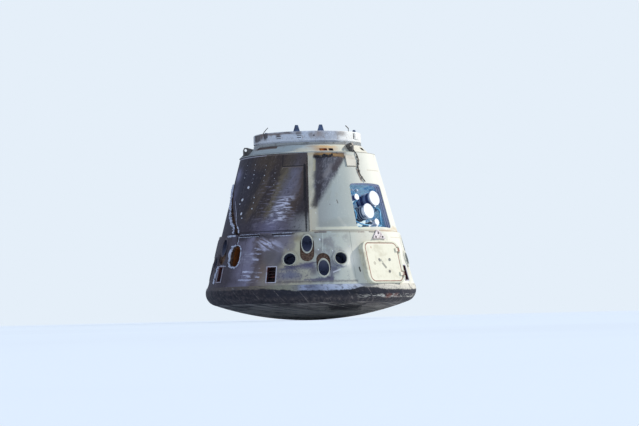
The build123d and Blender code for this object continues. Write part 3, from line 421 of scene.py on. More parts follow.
def service_paint():
    shade = Shade("service paint")
    slow = shade.streaks(9, 0.5, 6)
    fine = shade.streaks(9, 1.2, 26, 8, 0.7)
    cloud = shade.noise(3.4, 6, 0.62)
    speck = shade.noise(32, 8, 0.7)
    grain = shade.noise(120, 5, 0.7)
    level = shade.scratches(5, 0.034)
    sideways = shade.streaks(-60, 0.6, 16, 6, 0.7)
    azimuth = shade.azimuth.shifted(cloud, 9)
    height = shade.z.shifted(cloud, 0.18)

    # Charred side
    charred = azimuth.shifted(slow, 14).ramp([
        (-95, (52, 45, 50)), (-66, (72, 62, 68)), (-56, (62, 53, 62)), (-44, (104, 97, 112)),
        (-37, (126, 121, 140)), (-33, (92, 80, 82)), (-27, (110, 100, 106)),
        (-18, (122, 116, 126))], -95, -18)
    charred = wash(charred, [
        (fine, 0.56, 0.74, 45, (150, 142, 144)),
        (fine, 0.44, 0.3, 60, (36, 28, 32)),
        (speck, 0.6, 0.76, 40, (170, 164, 170)),
        (speck, 0.43, 0.3, 50, (30, 24, 30)),
    ])
    scuffed = shade.slanted(-34, 1.3).shifted(cloud, 10)
    bright = scuffed.band(-31, -20, 4.5) * height.band(1.18, 1.42, 0.06) * sideways.steps(0.44, 0.6)
    charred = mix(bright * 0.8, charred, (206, 206, 230))
    dull = azimuth.band(-44, -30, 3) * height.band(0.98, 1.16, 0.05) * level.steps(0.42, 0.62)
    charred = mix(dull * 0.55, charred, (160, 158, 172))
    charred = patches(charred, azimuth, height, [
        (-31, 1.1, 2.5, 120, 0.8, (70, 54, 50), 75), (-24, 1.05, 4, 140, 0.9, (92, 88, 88), 70),
        (-27, 0.8, 2.4, 160, 0.9, (120, 98, 74), 60), (-64, 1.3, 5, 160, 0.8, (44, 36, 38), 70),
        (-47, 1.38, 5, 50, 0.8, (40, 32, 38), 80), (-33, 1.42, 14, 30, 0.8, (36, 30, 38), 80),
        (-52, 0.7, 8, 60, 0.9, (58, 48, 56), 60),
    ])
    charred = shade.lines(charred, service_middle, speck, [
        (-40.5, 0.835, -28, 0.802, 6, 22, 50, (206, 208, 228), 95),
        (-42, 0.772, -29.5, 0.742, 5, 20, 50, (198, 200, 220), 95),
        (-43, 0.706, -30, 0.684, 5, 22, 50, (176, 178, 200), 90),
        (-35, 0.905, -29.5, 0.885, 4, 18, 40, (150, 146, 158), 80),
        (-37, 0.655, -24, 0.64, 4, 18, 40, (140, 132, 140), 70),
        (-38, 1.06, -31, 1.03, 5, 20, 50, (186, 186, 206), 85),
        (-37, 1.14, -29, 1.12, 5, 20, 50, (176, 176, 198), 80),
        (-34, 1.215, -27, 1.19, 6, 24, 60, (190, 190, 212), 85),
        (-45, 1.01, -40, 0.94, 4, 20, 50, (150, 146, 164), 80),
    ], level.steps(0.44, 0.6))
    charred = shade.lines(charred, service_middle, speck, [
        (-23, 1.446, -9, 1.45, 8, 7, 14, (18, 14, 22), 95),
        (-48, 1.446, -32, 1.446, 7, 7, 14, (20, 15, 24), 90),
        (-17.4, 0.955, -17.6, 0.8, 4, 8, 18, (200, 202, 214), 85),
        (-17.4, 0.952, -15.2, 0.958, 3, 7, 14, (196, 198, 208), 80),
    ])

    # Pale side, burnt round the ports at the front
    # Own tone plus painted light: greyer and darker at the front, which the sun misses, lighter on the
    # sunlit right.
    pale = azimuth.ramp([
        (-180, (186, 182, 166)), (-40, (120, 110, 110)), (-22, (140, 130, 122)), (-15, (176, 168, 146)),
        (-8, (186, 180, 154)), (0, (176, 172, 156)), (8, (176, 184, 178)), (22, (194, 198, 186)),
        (34, (212, 210, 194)), (58, (226, 224, 210)), (150, (214, 211, 196)),
        (180, (186, 182, 166))], -180, 180)
    pale = wash(pale, [
        (slow, 0.5, 0.66, 25, (146, 138, 116)),
        (fine, 0.6, 0.72, 35, (232, 230, 214)),
        (speck, 0.62, 0.76, 25, (120, 106, 90)),
    ])
    central = azimuth.band(-26, 22, 5)
    pale = mix(central * speck.steps(0.52, 0.7) * 0.35, pale, (206, 200, 160))
    pale = mix(central * cloud.steps(0.5, 0.34) * 0.55, pale, (112, 104, 112))
    pale = patches(pale, azimuth, height, [
        (-12, 0.86, 5.5, 30, 0.8, (74, 78, 108), 80), (-12, 0.74, 6, 70, 0.8, (96, 102, 130), 72),
        (-19, 1.02, 3, 120, 0.9, (84, 80, 84), 75), (-1.5, 0.9, 4.5, 45, 0.8, (84, 84, 118), 85),
        (2.5, 0.82, 2, 60, 0.9, (84, 76, 92), 70), (13, 0.83, 3, 70, 0.9, (84, 84, 112), 75),
        (8, 0.67, 5, 30, 0.9, (72, 72, 98), 85), (18, 0.9, 3.5, 20, 0.8, (96, 96, 124), 75),
        (11.5, 0.7, 1.2, 90, 0.9, (78, 80, 104), 75), (-9, 1.36, 5, 45, 0.9, (150, 136, 104), 70),
        (-6, 1.22, 2, 70, 0.9, (196, 190, 156), 50), (-1, 1.39, 3.5, 30, 0.9, (70, 56, 44), 70),
        # The near-white patches at 24 and 26 degrees are a painted highlight on the bulge beside a port.
        (24, 1.02, 3.6, 110, 0.9, (250, 246, 232), 90), (26, 1.1, 5, 120, 0.9, (222, 220, 204), 55),
        (-17.8, 1.06, 2.2, 120, 0.9, (84, 82, 90), 80), (80, 0.8, 8, 100, 0.9, (196, 190, 170), 50),
    ])
    mottled = central * height.band(0.66, 0.96, 0.06) * speck.steps(0.5, 0.38) * cloud.steps(0.58, 0.46)
    pale = mix(mottled * 0.75, pale, (74, 72, 98))
    pale = shade.lines(pale, service_middle, speck, [
        (-20, 0.64, 26, 0.64, 3, 26, 60, (70, 60, 70), 55),
        (-3, 0.672, 12, 0.668, 4, 24, 60, (96, 92, 112), 75),
        (6, 0.76, 10.5, 0.7, 6, 24, 50, (70, 66, 86), 80),
        (-14, 0.905, -7.5, 0.895, 6, 22, 50, (74, 72, 98), 80),
        (-6.5, 0.9, 4, 0.965, 4, 20, 50, (88, 82, 104), 70),
        (8.3, 1.449, 7.7, 1.15, 3, 4, 4, (216, 222, 208), 75),
        (6.2, 1.347, 6.3, 1.337, 9, 6, 4, (240, 244, 246), 95),
        (5.1, 1.174, 5.2, 1.166, 6, 6, 4, (226, 232, 232), 90),
        (13.5, 1.152, 13.5, 1.142, 5, 6, 4, (226, 232, 232), 90),
        (13, 0.79, 17, 0.835, 6, 8, 16, (206, 210, 216), 75),
        # Painted shade: a small dark notch left of the equipment door.
        (28.6, 0.86, 28.9, 0.8, 10, 5, 10, (36, 30, 30), 95),
        (75, 0.98, 78, 0.86, 12, 6, 10, (44, 36, 36), 90),
        (3.5, 1.468, 10.5, 1.466, 6, 8, 12, (76, 34, 32), 85),
        (31.6, 1.462, 36, 1.462, 4, 6, 14, (96, 44, 38), 75),
        (40, 1.464, 46, 1.464, 6, 6, 14, (48, 34, 34), 80),
        (14, 1.464, 31, 1.464, 3, 8, 12, (130, 118, 98), 60),
        (60, 1.38, 90, 1.378, 3, 6, 8, (196, 176, 140), 50),
    ])

    boundary = shade.slanted(26, 1.1).shifted(fine, 7)
    left_side = boundary.steps(-13, -21) * azimuth.steps(-150, -126)
    colour = mix(left_side, pale, charred)
    colour = wash(colour, [(grain, 0.58, 0.72, 14, (60, 52, 48))])

    # Troughs below the ports
    under = shade.under(service_wall).shifted(speck, 0.008)
    trough = under.steps(0.008, 0.018) * shade.z.steps(1.46, 1.45) * shade.z.steps(0.655, 0.665)
    brown = speck.ramp([(0.35, (66, 46, 38)), (0.5, (100, 74, 58)), (0.65, (140, 116, 96))])
    colour = mix(trough, colour, brown)
    return shade.finish(colour, speck * 0.25 + 0.6, speck * 0.7 + fine * 0.7, 0.006, 0.55)


def worn(name, base, dark, light, rough=0.55, scale=9.0, metallic=0.0, height=0.003):
    """Paint or metal with dark dirt in patches and light wear in specks."""
    shade = Shade(name, metallic)
    cloud = shade.noise(scale, 6, 0.62, 0.3)
    speck = shade.noise(scale * 7, 7, 0.7)
    colour = wash(base, [(cloud, 0.48, 0.68, 75, dark), (speck, 0.56, 0.72, 60, light)])
    return shade.finish(colour, cloud * 0.3 + (rough - 0.15), speck, height)


def shield_paint():
    shade = Shade("charred shield")
    cloud = shade.noise(3, 6, 0.65, 0.3)
    speck = shade.noise(26, 8, 0.72)
    swept = shade.noise_at(shade.x * 3, shade.radius * 26, 0, 8, 0.68, 0.4)
    turned = shade.radius * 1.6 + shade.x * 0.9
    curved = shade.noise_at(turned * 9, shade.y * 1.4, 3, 7, 0.7, 0.8)
    colour = swept.ramp([
        (0.32, (46, 43, 48)), (0.46, (84, 79, 80)), (0.56, (132, 124, 120)), (0.7, (176, 168, 160))])
    burnt = (shade.x.shifted(speck, 0.6).shifted(cloud, 0.5).band(0.3, 0.84, 0.05)
             * shade.z.shifted(swept, 0.2).shifted(curved, 0.12).band(0.15, 0.26, 0.02)
             * shade.y.steps(0, -0.2))
    colour = wash(colour, [
        (cloud, 0.5, 0.34, 75, (44, 40, 44)),
        (speck, 0.58, 0.74, 50, (176, 168, 160)),
        # Painted light: the middle of the underside, shaded by the floor, is lightened nearly to white.
        (shade.radius, 1.66, 0.9, 85, (244, 234, 222)),
        (swept, 0.48, 0.4, 65, (46, 42, 50)),
        (curved, 0.48, 0.4, 60, (58, 52, 56)),
    ])
    colour = mix(burnt * 0.85, colour, (24, 22, 28))
    colour = wash(colour, [(shade.x, 0.95, 1.4, 40, (40, 42, 58))])
    pale = curved.steps(0.54, 0.64) * shade.y.steps(0, -0.4)
    colour = mix(pale * 0.7, colour, (196, 190, 184))
    return shade.finish(colour, 0.85, speck + swept * 0.6, 0.01, 0.7)


def rim_paint():
    shade = Shade("rim")
    fine = shade.streaks(-14, 0.7, 30, 8, 0.7)
    smudge = shade.streaks(-30, 1.4, 7, 5, 0.6)
    patchy = shade.streaks(-40, 2.5, 16, 6, 0.7)
    cloud = shade.noise(4, 6, 0.65)
    speck = shade.noise(24, 8, 0.72)
    azimuth = shade.azimuth.shifted(cloud, 10)
    ragged = shade.z.shifted(cloud, 0.08).shifted(speck, 0.045)

    # Dark lower part
    dark = cloud.ramp([(0.32, (18, 19, 28)), (0.52, (28, 29, 42)), (0.7, (48, 44, 52))])
    dark = wash(dark, [(fine, 0.54, 0.72, 35, (104, 98, 100))])
    left = mix(fine.steps(0.42, 0.62), (30, 28, 36), (72, 62, 64))
    dark = mix(azimuth.steps(-14, -34) * 0.7, dark, left)
    low = fine.ramp([(0.36, (36, 34, 40)), (0.5, (64, 58, 62)), (0.66, (108, 98, 94))])
    dark = mix(ragged.steps(0.43, 0.35) * 0.7, dark, low)

    # Pale band at the top
    # Painted shade: the band is bluish at the front, which lies in shade.
    light = shade.azimuth.ramp([
        (-180, (170, 168, 160)), (-70, (78, 70, 72)), (-42, (92, 82, 74)), (-26, (124, 114, 98)),
        (-18, (136, 134, 118)), (-12, (144, 142, 124)), (-7, (132, 132, 128)), (-4, (160, 168, 192)),
        (2, (124, 130, 150)), (8, (166, 174, 194)), (18, (186, 196, 214)), (26, (170, 178, 192)),
        (31, (170, 166, 158)), (44, (206, 200, 186)), (150, (214, 210, 194)),
        (180, (170, 168, 160))], -180, 180)
    light = wash(light, [
        (speck, 0.52, 0.7, 45, (92, 86, 92)),
        (smudge, 0.47, 0.36, 55, (66, 62, 74)),
        (fine, 0.46, 0.36, 55, (52, 47, 56)),
        (fine, 0.58, 0.72, 35, (232, 232, 234)),
    ])
    notch = (shade.slanted(60, 0.55) + speck * 2).steps(27, 29) * azimuth.steps(44, 34)
    edge = notch * 0.04 + (azimuth.steps(-6, -22) * 0.036 + 0.492)
    share = (ragged - edge).steps(-0.01, 0.016)
    colour = mix(share, dark, light)

    # Torn and rusty spots on the right, and the seams between the tiles
    torn = azimuth.band(28, 84, 10) * ragged.band(0.362, 0.412, 0.018) * patchy.steps(0.5, 0.58)
    colour = mix(torn * 0.8, colour, (222, 216, 204))
    rusty = cloud.steps(0.54, 0.64) * azimuth.band(8, 60, 6) * ragged.band(0.36, 0.43, 0.02)
    colour = mix(rusty * 0.7, colour, (120, 64, 50))
    turn = shade.slanted(-26, 0.5).shifted(speck, 0.6)
    seam = abs(turn.math("DIVIDE", turn, 360 / rim_tiles).fraction() - 0.5)
    seams = seam.steps(0.03, 0.008) * share.steps(0.6, 0.2) * fine.steps(0.4, 0.6)
    colour = mix(seams * 0.45, colour, (140, 130, 126))
    return shade.finish(colour, 0.8, speck + fine * 0.5, 0.009, 0.7)


def cut_paint(name, rim, charred_rim, inside, deep_shade, depths, stain, stain_share):
    """A rim on the service wall, charred on the left side, that turns to the inside colour below the skin
    and to painted shade deeper down.
    """
    shade = Shade(name)
    cloud = shade.noise(9, 6, 0.65)
    speck = shade.noise(46, 7, 0.7)
    depth = shade.under(service_wall).shifted(speck, 0.006)
    edge = mix(shade.azimuth.band(-140, -26, 12), rim, charred_rim)
    colour = mix(depth.steps(depths[0], depths[1]), edge, inside)
    # Painted shade: deeper below the skin the colour turns to a darker one.
    colour = mix(depth.steps(depths[1], depths[2]), colour, deep_shade)
    colour = wash(colour, [(cloud, 0.5, 0.66, stain_share, stain)])
    return shade.finish(colour, 0.7, speck, 0.004)


def door_paint():
    shade = Shade("door")
    cloud = shade.noise(4, 6, 0.62, 0.3)
    speck = shade.noise(30, 7, 0.7)
    x, y, depth = shade.on_plane(wall_frame(*door_place))
    outside = depth.steps(-0.016, -0.01)
    colour = mix(cloud.steps(0.46, 0.68), (226, 222, 200), (206, 200, 176))
    colour = wash(colour, [(speck, 0.6, 0.74, 30, (170, 158, 134))])

    # Gasket and an inner line, both round the door's edge
    corner = 0.1
    out_x = abs(x) - (door_size[0] / 2 - corner)
    out_y = abs(y) - (door_size[1] / 2 - corner)
    reach = out_x.at_least(0).reach(out_y.at_least(0)).at_least(out_x.at_least(out_y))
    gasket = reach.shifted(speck, 0.012).steps(0.082, 0.09) * cloud.steps(0.3, 0.45)
    colour = mix(gasket * 0.85, colour, (150, 84, 64))
    colour = mix(reach.band(0.066, 0.07, 0.004) * 0.5, colour, (240, 238, 226))

    # Spots. Columns: place across and up the door, half width, colour and share in percent
    soft = 0.004
    for across, up, half, tint, share in (
            (-0.1, 0.034, 0.03, (92, 96, 96), 85), (-0.118, 0.046, 0.012, (48, 44, 44), 80),
            (0.15, 0.04, 0.026, (84, 88, 96), 85), (0.14, 0.05, 0.01, (44, 42, 48), 80),
            (0.095, -0.165, 0.026, (70, 70, 74), 85), (-0.235, -0.022, 0.028, (150, 142, 124), 80),
            (-0.235, -0.022, 0.014, (216, 210, 188), 90), (-0.25, 0.255, 0.02, (188, 150, 120), 60)):
        spot = (x - across).reach(y - up).shifted(speck, 0.01).steps(half + soft, half - soft)
        colour = mix(spot * outside * (share / 100), colour, tint)

    # Slanted slot
    along = x * 0.64 + (y * -0.77 + -0.052)
    beside = x * 0.77 + (y * 0.64 + 0.046)
    slot = beside.band(-0.022, 0.022, 0.004) * along.band(-0.07, 0.05, 0.006) * outside
    colour = mix(slot * 0.8, colour, (110, 110, 100))
    return shade.finish(colour, 0.6, speck, 0.003)


def liner_paint():
    shade = Shade("liner")
    cloud = shade.noise(5, 6, 0.62, 0.4)
    speck = shade.noise(26, 7, 0.72)
    y, depth = shade.on_plane(wall_frame(*chute_place))[1:]
    # Its own cyan, lightened nearly to white as painted light for the sun that falls into the bay.
    colour = mix(cloud.steps(0.44, 0.6), (214, 248, 255), (140, 204, 246))
    colour = mix(speck.steps(0.52, 0.62), colour, (244, 250, 254))
    ribs = abs((y * 7).fraction() - 0.5)
    colour = wash(colour, [
        (speck, 0.42, 0.32, 70, (30, 38, 66)),
        (depth, -0.13, -0.09, 60, (120, 128, 164)),
        (ribs, 0.05, 0.02, 70, (232, 240, 246)),
    ])
    return shade.finish(colour, 0.5, speck, 0.006)


def mortar_paint():
    shade = Shade("mortar", 0.1)
    speck = shade.noise(40, 7, 0.7)
    x, y, depth = shade.on_plane(wall_frame(*chute_place))
    barrel = mix((depth * 22).fraction().steps(0.4, 0.6), (44, 50, 76), (150, 158, 172))
    # Painted shade: the upper barrel is navy, the colour it shows in shade, banded with a lighter blue.
    upper = mix((depth * 9).fraction().steps(0.45, 0.55), (44, 54, 104), (120, 132, 168))
    colour = mix(y.steps(-0.02, 0.03), barrel, upper)
    colour = mix(depth.shifted(speck, 0.004).steps(-0.03, -0.026), colour, (212, 214, 220))
    lower_lid = y.steps(-0.2, -0.24) * depth.steps(-0.12, -0.1)
    colour = mix(lower_lid * 0.85, colour, (232, 236, 242))
    left_lid = x.steps(-0.23, -0.25) * depth.steps(-0.06, -0.05)
    colour = mix(left_lid * 0.9, colour, (240, 242, 246))
    return shade.finish(colour, 0.42, speck, 0.001)


def deck_paint():
    shade = Shade("deck")
    cloud = shade.noise(5, 6, 0.62, 0.3)
    speck = shade.noise(34, 7, 0.7)
    fine = shade.streaks(0, 0.8, 26, 8, 0.7)
    azimuth = shade.azimuth.shifted(cloud, 6)
    height = shade.z.shifted(cloud, 0.05)
    colour = shade.azimuth.ramp([
        (-180, (170, 172, 164)), (-70, (166, 172, 170)), (-20, (178, 188, 186)), (2, (190, 198, 194)),
        (34, (204, 206, 190)), (60, (214, 210, 194)), (180, (170, 172, 164))], -180, 180)
    colour = wash(colour, [
        (fine, 0.52, 0.68, 30, (146, 138, 124)),
        (speck, 0.58, 0.74, 45, (232, 234, 228)),
    ])
    colour = patches(colour, azimuth, height, [
        (-46, 2.975, 19, 12, 0.8, (96, 76, 66), 80), (-62, 2.955, 6, 20, 0.8, (110, 92, 82), 65),
        (18, 2.945, 11, 20, 0.7, (212, 170, 104), 80), (17, 2.9, 11, 30, 0.8, (184, 138, 82), 80),
        (4, 2.955, 5, 20, 0.8, (150, 128, 108), 50), (-4, 2.885, 8, 30, 0.8, (206, 200, 176), 60),
        (45, 2.93, 7, 30, 0.9, (190, 168, 136), 55),
    ])
    colour = shade.lines(colour, deck_middle, speck, [
        (-86, 2.848, 90, 2.848, 3, 5, 10, (70, 60, 58), 70),
        (-60, 2.989, 60, 2.989, 3, 4, 10, (90, 78, 72), 80),
    ])

    # Pockets and slot: their own colours inside, with painted shade that darkens them, most near 25 and 78
    # degrees
    slope = shade.z * -deck_slant + (deck_top_radius + deck_top_height * deck_slant)
    shaded_recess = (slope - shade.radius).steps(0.006, 0.011) * shade.z.band(2.872, 2.988, 0.001)
    inside = shade.azimuth.ramp([
        (-66, (88, 72, 66)), (-30, (120, 104, 94)), (9, (96, 60, 50)), (14, (214, 140, 70)),
        (17, (150, 70, 50)), (21, (60, 40, 44)), (25, (34, 36, 48)), (60, (96, 84, 78)),
        (78, (46, 46, 50))], -66, 78)
    colour = mix(shaded_recess, colour, inside)
    return shade.finish(colour, 0.6, speck, 0.004)


def ring_paint():
    shade = Shade("ring", 0.1)
    cloud = shade.noise(7, 6, 0.65, 0.4)
    fine = shade.streaks(0, 0.5, 24, 8, 0.7)
    speck = shade.noise(44, 7, 0.7)
    azimuth = shade.azimuth.shifted(cloud, 5)
    height = shade.z.shifted(cloud, 0.05)
    # Own tone plus painted light: bluish at the front, which lies in shade, near white on the sunlit right.
    colour = shade.azimuth.ramp([
        (-180, (176, 178, 174)), (-75, (162, 164, 168)), (-50, (196, 200, 206)), (0, (206, 212, 222)),
        (12, (188, 194, 204)), (32, (182, 188, 198)), (38, (236, 236, 232)), (60, (240, 238, 230)),
        (180, (176, 178, 174))], -180, 180)
    colour = wash(colour, [
        (fine, 0.52, 0.64, 50, (150, 136, 126)),
        (speck, 0.54, 0.68, 70, (240, 242, 250)),
        (speck, 0.43, 0.32, 60, (92, 78, 74)),
    ])
    colour = patches(colour, azimuth, height, [
        (-68, 3.14, 6, 60, 0.6, (72, 52, 46), 90), (-57, 3.17, 3.5, 50, 0.7, (88, 68, 60), 85),
        (-50, 3.15, 2.2, 50, 0.7, (48, 38, 38), 85), (-42, 3.195, 22, 20, 0.8, (104, 82, 70), 80),
        (-31, 3.17, 2.4, 30, 0.7, (84, 68, 62), 70), (-9, 3.19, 3, 30, 0.7, (92, 76, 68), 70),
        (4, 3.16, 2, 40, 0.7, (120, 104, 96), 60), (-20, 3.2, 5, 20, 0.8, (84, 66, 58), 75),
        (12, 3.16, 5, 50, 0.8, (150, 120, 96), 50), (38, 3.18, 6, 40, 0.8, (110, 96, 88), 60),
        (0, 3.07, 60, 12, 0.8, (214, 218, 224), 50),
    ])
    # Painted shade in the ring's recesses.
    drop = (ring_radius - 0.004) - shade.radius
    shaded_recess = drop.steps(0, 0.004) * shade.z.band(3.066, 3.208, 0.001)
    colour = mix(shaded_recess * 0.85, colour, (84, 78, 80))
    return shade.finish(colour, 0.55, speck, 0.003)


def bracket_paint():
    shade = Shade("bracket")
    cloud = shade.noise(20, 6, 0.65, 0.5)
    speck = shade.noise(70, 7, 0.7)
    colour = mix(cloud.steps(0.44, 0.6), (228, 218, 216), (150, 136, 134))
    colour = wash(colour, [(speck, 0.56, 0.7, 70, (96, 80, 78))])
    return shade.finish(colour, 0.6, speck, 0.004)


paints = {
    "cabin": cabin_paint(), "service": service_paint(), "shield": shield_paint(), "rim": rim_paint(),
    "door": door_paint(), "liner": liner_paint(), "mortar": mortar_paint(), "deck": deck_paint(),
    "ring": ring_paint(), "bracket": bracket_paint(),
}

# Cut edges. Columns: name, rim, charred rim, inside, deep shade, three depths, stain and its share in
# percent
# The ports' dark inside and each deep shade are painted shade, the darkness inside the holes.
for name, *values in (
        ("port", (196, 196, 180), (92, 84, 90), (66, 70, 90), (66, 74, 100), (-0.004, 0.008, 0.1),
         (58, 58, 76), 40),
        ("vent", (192, 190, 198), (156, 152, 164), (74, 38, 38), (44, 28, 32), (-0.004, 0.006, 0.07),
         (120, 56, 50), 70),
        ("pocket", (206, 210, 222), (150, 144, 152), (176, 106, 46), (128, 72, 32), (0, 0.03, 0.2),
         (40, 26, 28), 50)):
    paints[name] = cut_paint(name, *values)

# Plain paints and metals. Columns: name, base, dark dirt, light wear and what differs from the usual
for name, base, dark, light, others in (
        ("frame", (212, 210, 188), (182, 174, 148), (236, 234, 218), {"scale": 5.0}),
        ("bare", (158, 160, 158), (110, 110, 108), (200, 202, 200), {"metallic": 0.6}),
        ("hatch", (196, 200, 198), (150, 150, 146), (226, 228, 226), {"scale": 5.0}),
        ("tab", (74, 92, 124), (42, 48, 70), (130, 144, 170), {}),
        ("steel", (112, 108, 104), (60, 54, 52), (164, 160, 152), {"metallic": 0.4}),
        ("torn", (196, 202, 220), (92, 84, 94), (236, 240, 248), {"scale": 16, "height": 0.008}),
        ("fastener", (206, 208, 216), (140, 138, 146), (244, 246, 250), {"scale": 30.0}),
        ("soot", (38, 34, 40), (22, 20, 24), (86, 80, 84), {"scale": 20.0}),
        ("cable", (64, 62, 60), (30, 30, 30), (120, 118, 112), {"scale": 30.0}),
        ("tape", (232, 236, 240), (176, 186, 196), (248, 250, 252), {"scale": 14.0}),
        ("chrome", (196, 206, 216), (120, 132, 150), (240, 244, 248), {"rough": 0.25, "metallic": 0.7}),
        ("cover", (206, 200, 184), (176, 164, 146), (226, 222, 208), {"scale": 6.0}),
        ("web", (120, 190, 224), (60, 120, 170), (214, 234, 246), {"scale": 16.0})):
    paints[name] = worn(name, base, dark, light, **others)

# Each node's paint, by how its name starts
for start, paint in (
        ("cabin_wall", "cabin"), ("cabin_floor", "bare"), ("service_wall", "service"),
        ("heat_shield", "shield"), ("shoulder_ring", "rim"), ("thruster", "port"), ("vent_boxes", "vent"),
        ("riser_pocket", "pocket"), ("equipment_bay", "frame"), ("equipment_door", "door"),
        ("parachute_bay", "liner"), ("mortar", "mortar"), ("bay_fittings", "mortar"),
        ("top_deck", "deck"), ("lifting", "steel"),
        ("hatch_sill", "bare"), ("forward_hatch", "hatch"), ("berthing_ring", "ring"), ("guide_tabs", "tab"),
        ("stay_bracket", "bracket")):
    for name, node in nodes.items():
        if name.startswith(start):
            for slot in node.material_slots:
                slot.material = paints[paint]


# Pieces added to the walls
def add_piece(name, mesh, paint, smooth=False):
    bmesh.ops.recalc_face_normals(mesh, faces=mesh.faces[:])
    data = bpy.data.meshes.new(name)
    mesh.to_mesh(data)
    mesh.free()
    for polygon in data.polygons:
        polygon.use_smooth = smooth
    data.materials.append(paints[paint])
    piece = bpy.data.objects.new(name, data)
    scene.collection.objects.link(piece)
    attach(piece, "capsule")


def sweep(name, rows, paint, smooth=False):
    """Joins rings of points into a skin with flat ends."""
    mesh = bmesh.new()
    rings = [[mesh.verts.new(point) for point in row] for row in rows]
    for ring, following in zip(rings, rings[1:]):
        for index in range(len(ring)):
            after = (index + 1) % len(ring)
            mesh.faces.new((ring[index], ring[after], following[after], following[index]))
    mesh.faces.new(rings[0])
    mesh.faces.new(rings[-1])
    add_piece(name, mesh, paint, smooth)


def on_wall(*places, step=0.012):
    """Points and outward directions along places (azimuth, height) on the wall, a step apart."""
    route = []
    for (start, low), (end, high) in zip(places, places[1:]):
        first, last = wall_frame(start, low).translation, wall_frame(end, high).translation
        count = max(2, round((last - first).length / step))
        for index in range(count):
            share = index / count
            matrix = wall_frame(start + (end - start) * share, low + (high - low) * share)
            route.append((matrix.translation, matrix.col[2].to_3d()))
    return route


def round_hole(first, last, step=6, roundness=0.7):
    """Points and outward directions round part of the riser hole's edge, between two angles."""
    azimuth, height, width, length = riser_hole
    matrix = wall_frame(azimuth, height)
    route = []
    for angle in range(first, last + 1, step):
        side, rise = math.cos(math.radians(angle)), math.sin(math.radians(angle))
        x = width / 2 * math.copysign(abs(side) ** roundness, side)
        y = length / 2 * math.copysign(abs(rise) ** roundness, rise)
        route.append((matrix @ Vector((x, y, 0)), matrix.col[2].to_3d()))
    return route


def torn_strip(name, half, rise, seed, route, paint="torn"):
    """Torn edge of the skin: a strip with ragged sides that stands off the wall."""
    draw = random.Random(seed)
    rows = []
    for index, (point, outwards) in enumerate(route):
        after = route[min(index + 1, len(route) - 1)][0]
        before = route[max(index - 1, 0)][0]
        side = outwards.cross((after - before).normalized())
        point = point + side * half * draw.uniform(-0.4, 0.4)
        left, right = half * draw.uniform(0.3, 1.6), half * draw.uniform(0.3, 1.6)
        lifts = (-0.004, rise * draw.uniform(0.1, 1.3), rise * draw.uniform(0.3, 1.5), -0.004)
        rows.append([point + side * at + outwards * lift
                     for at, lift in zip((-left, -left * 0.5, right * 0.5, right), lifts)])
    sweep(name, rows, paint)


def tube(name, points, radius, paint, sides=8, parts=6):
    """Round bar through points, smoothed between them."""
    path = []
    for index in range(len(points) - 1):
        p0, p1 = points[max(index - 1, 0)], points[index]
        p2, p3 = points[index + 1], points[min(index + 2, len(points) - 1)]
        for part in range(parts):
            t = part / parts
            path.append(0.5 * (2 * p1 + (p2 - p0) * t + (2 * p0 - 5 * p1 + 4 * p2 - p3) * t ** 2
                               + (3 * p1 - p0 - 3 * p2 + p3) * t ** 3))
    path.append(points[-1])
    turns = [2 * math.pi * step / sides for step in range(sides)]
    rows = []
    for index, point in enumerate(path):
        along = (path[min(index + 1, len(path) - 1)] - path[max(index - 1, 0)]).normalized()
        side = (last_side - along * last_side.dot(along)) if rows else along.orthogonal()
        last_side = side = side.normalized()
        other = along.cross(side)
        rows.append([point + radius * (side * math.cos(turn) + other * math.sin(turn)) for turn in turns])
    sweep(name, rows, paint, smooth=True)


def studs(name, places, seed, flat=0.35):
    """Small domes on the wall. Each place is azimuth, height and radius."""
    draw = random.Random(seed)
    mesh = bmesh.new()
    for azimuth, height, radius in places:
        matrix = wall_frame(azimuth, height) @ Matrix.Rotation(draw.uniform(0, 6.28), 4, "Z")
        spread = (draw.uniform(0.8, 1.2), draw.uniform(0.8, 1.3), flat)
        size = Matrix.Diagonal((*(radius * share for share in spread), 1))
        bmesh.ops.create_icosphere(mesh, subdivisions=2, radius=1.0, matrix=matrix @ size)
    add_piece(name, mesh, "fastener")


def block(name, matrix, size, paint, bevel):
    """Box with bevelled edges, centred on a matrix."""
    mesh = bmesh.new()
    bmesh.ops.create_cube(mesh, size=1.0, matrix=matrix @ Matrix.Diagonal((*size, 1)))
    bmesh.ops.bevel(mesh, geom=mesh.edges[:], offset=bevel, segments=2, affect="EDGES")
    add_piece(name, mesh, paint)


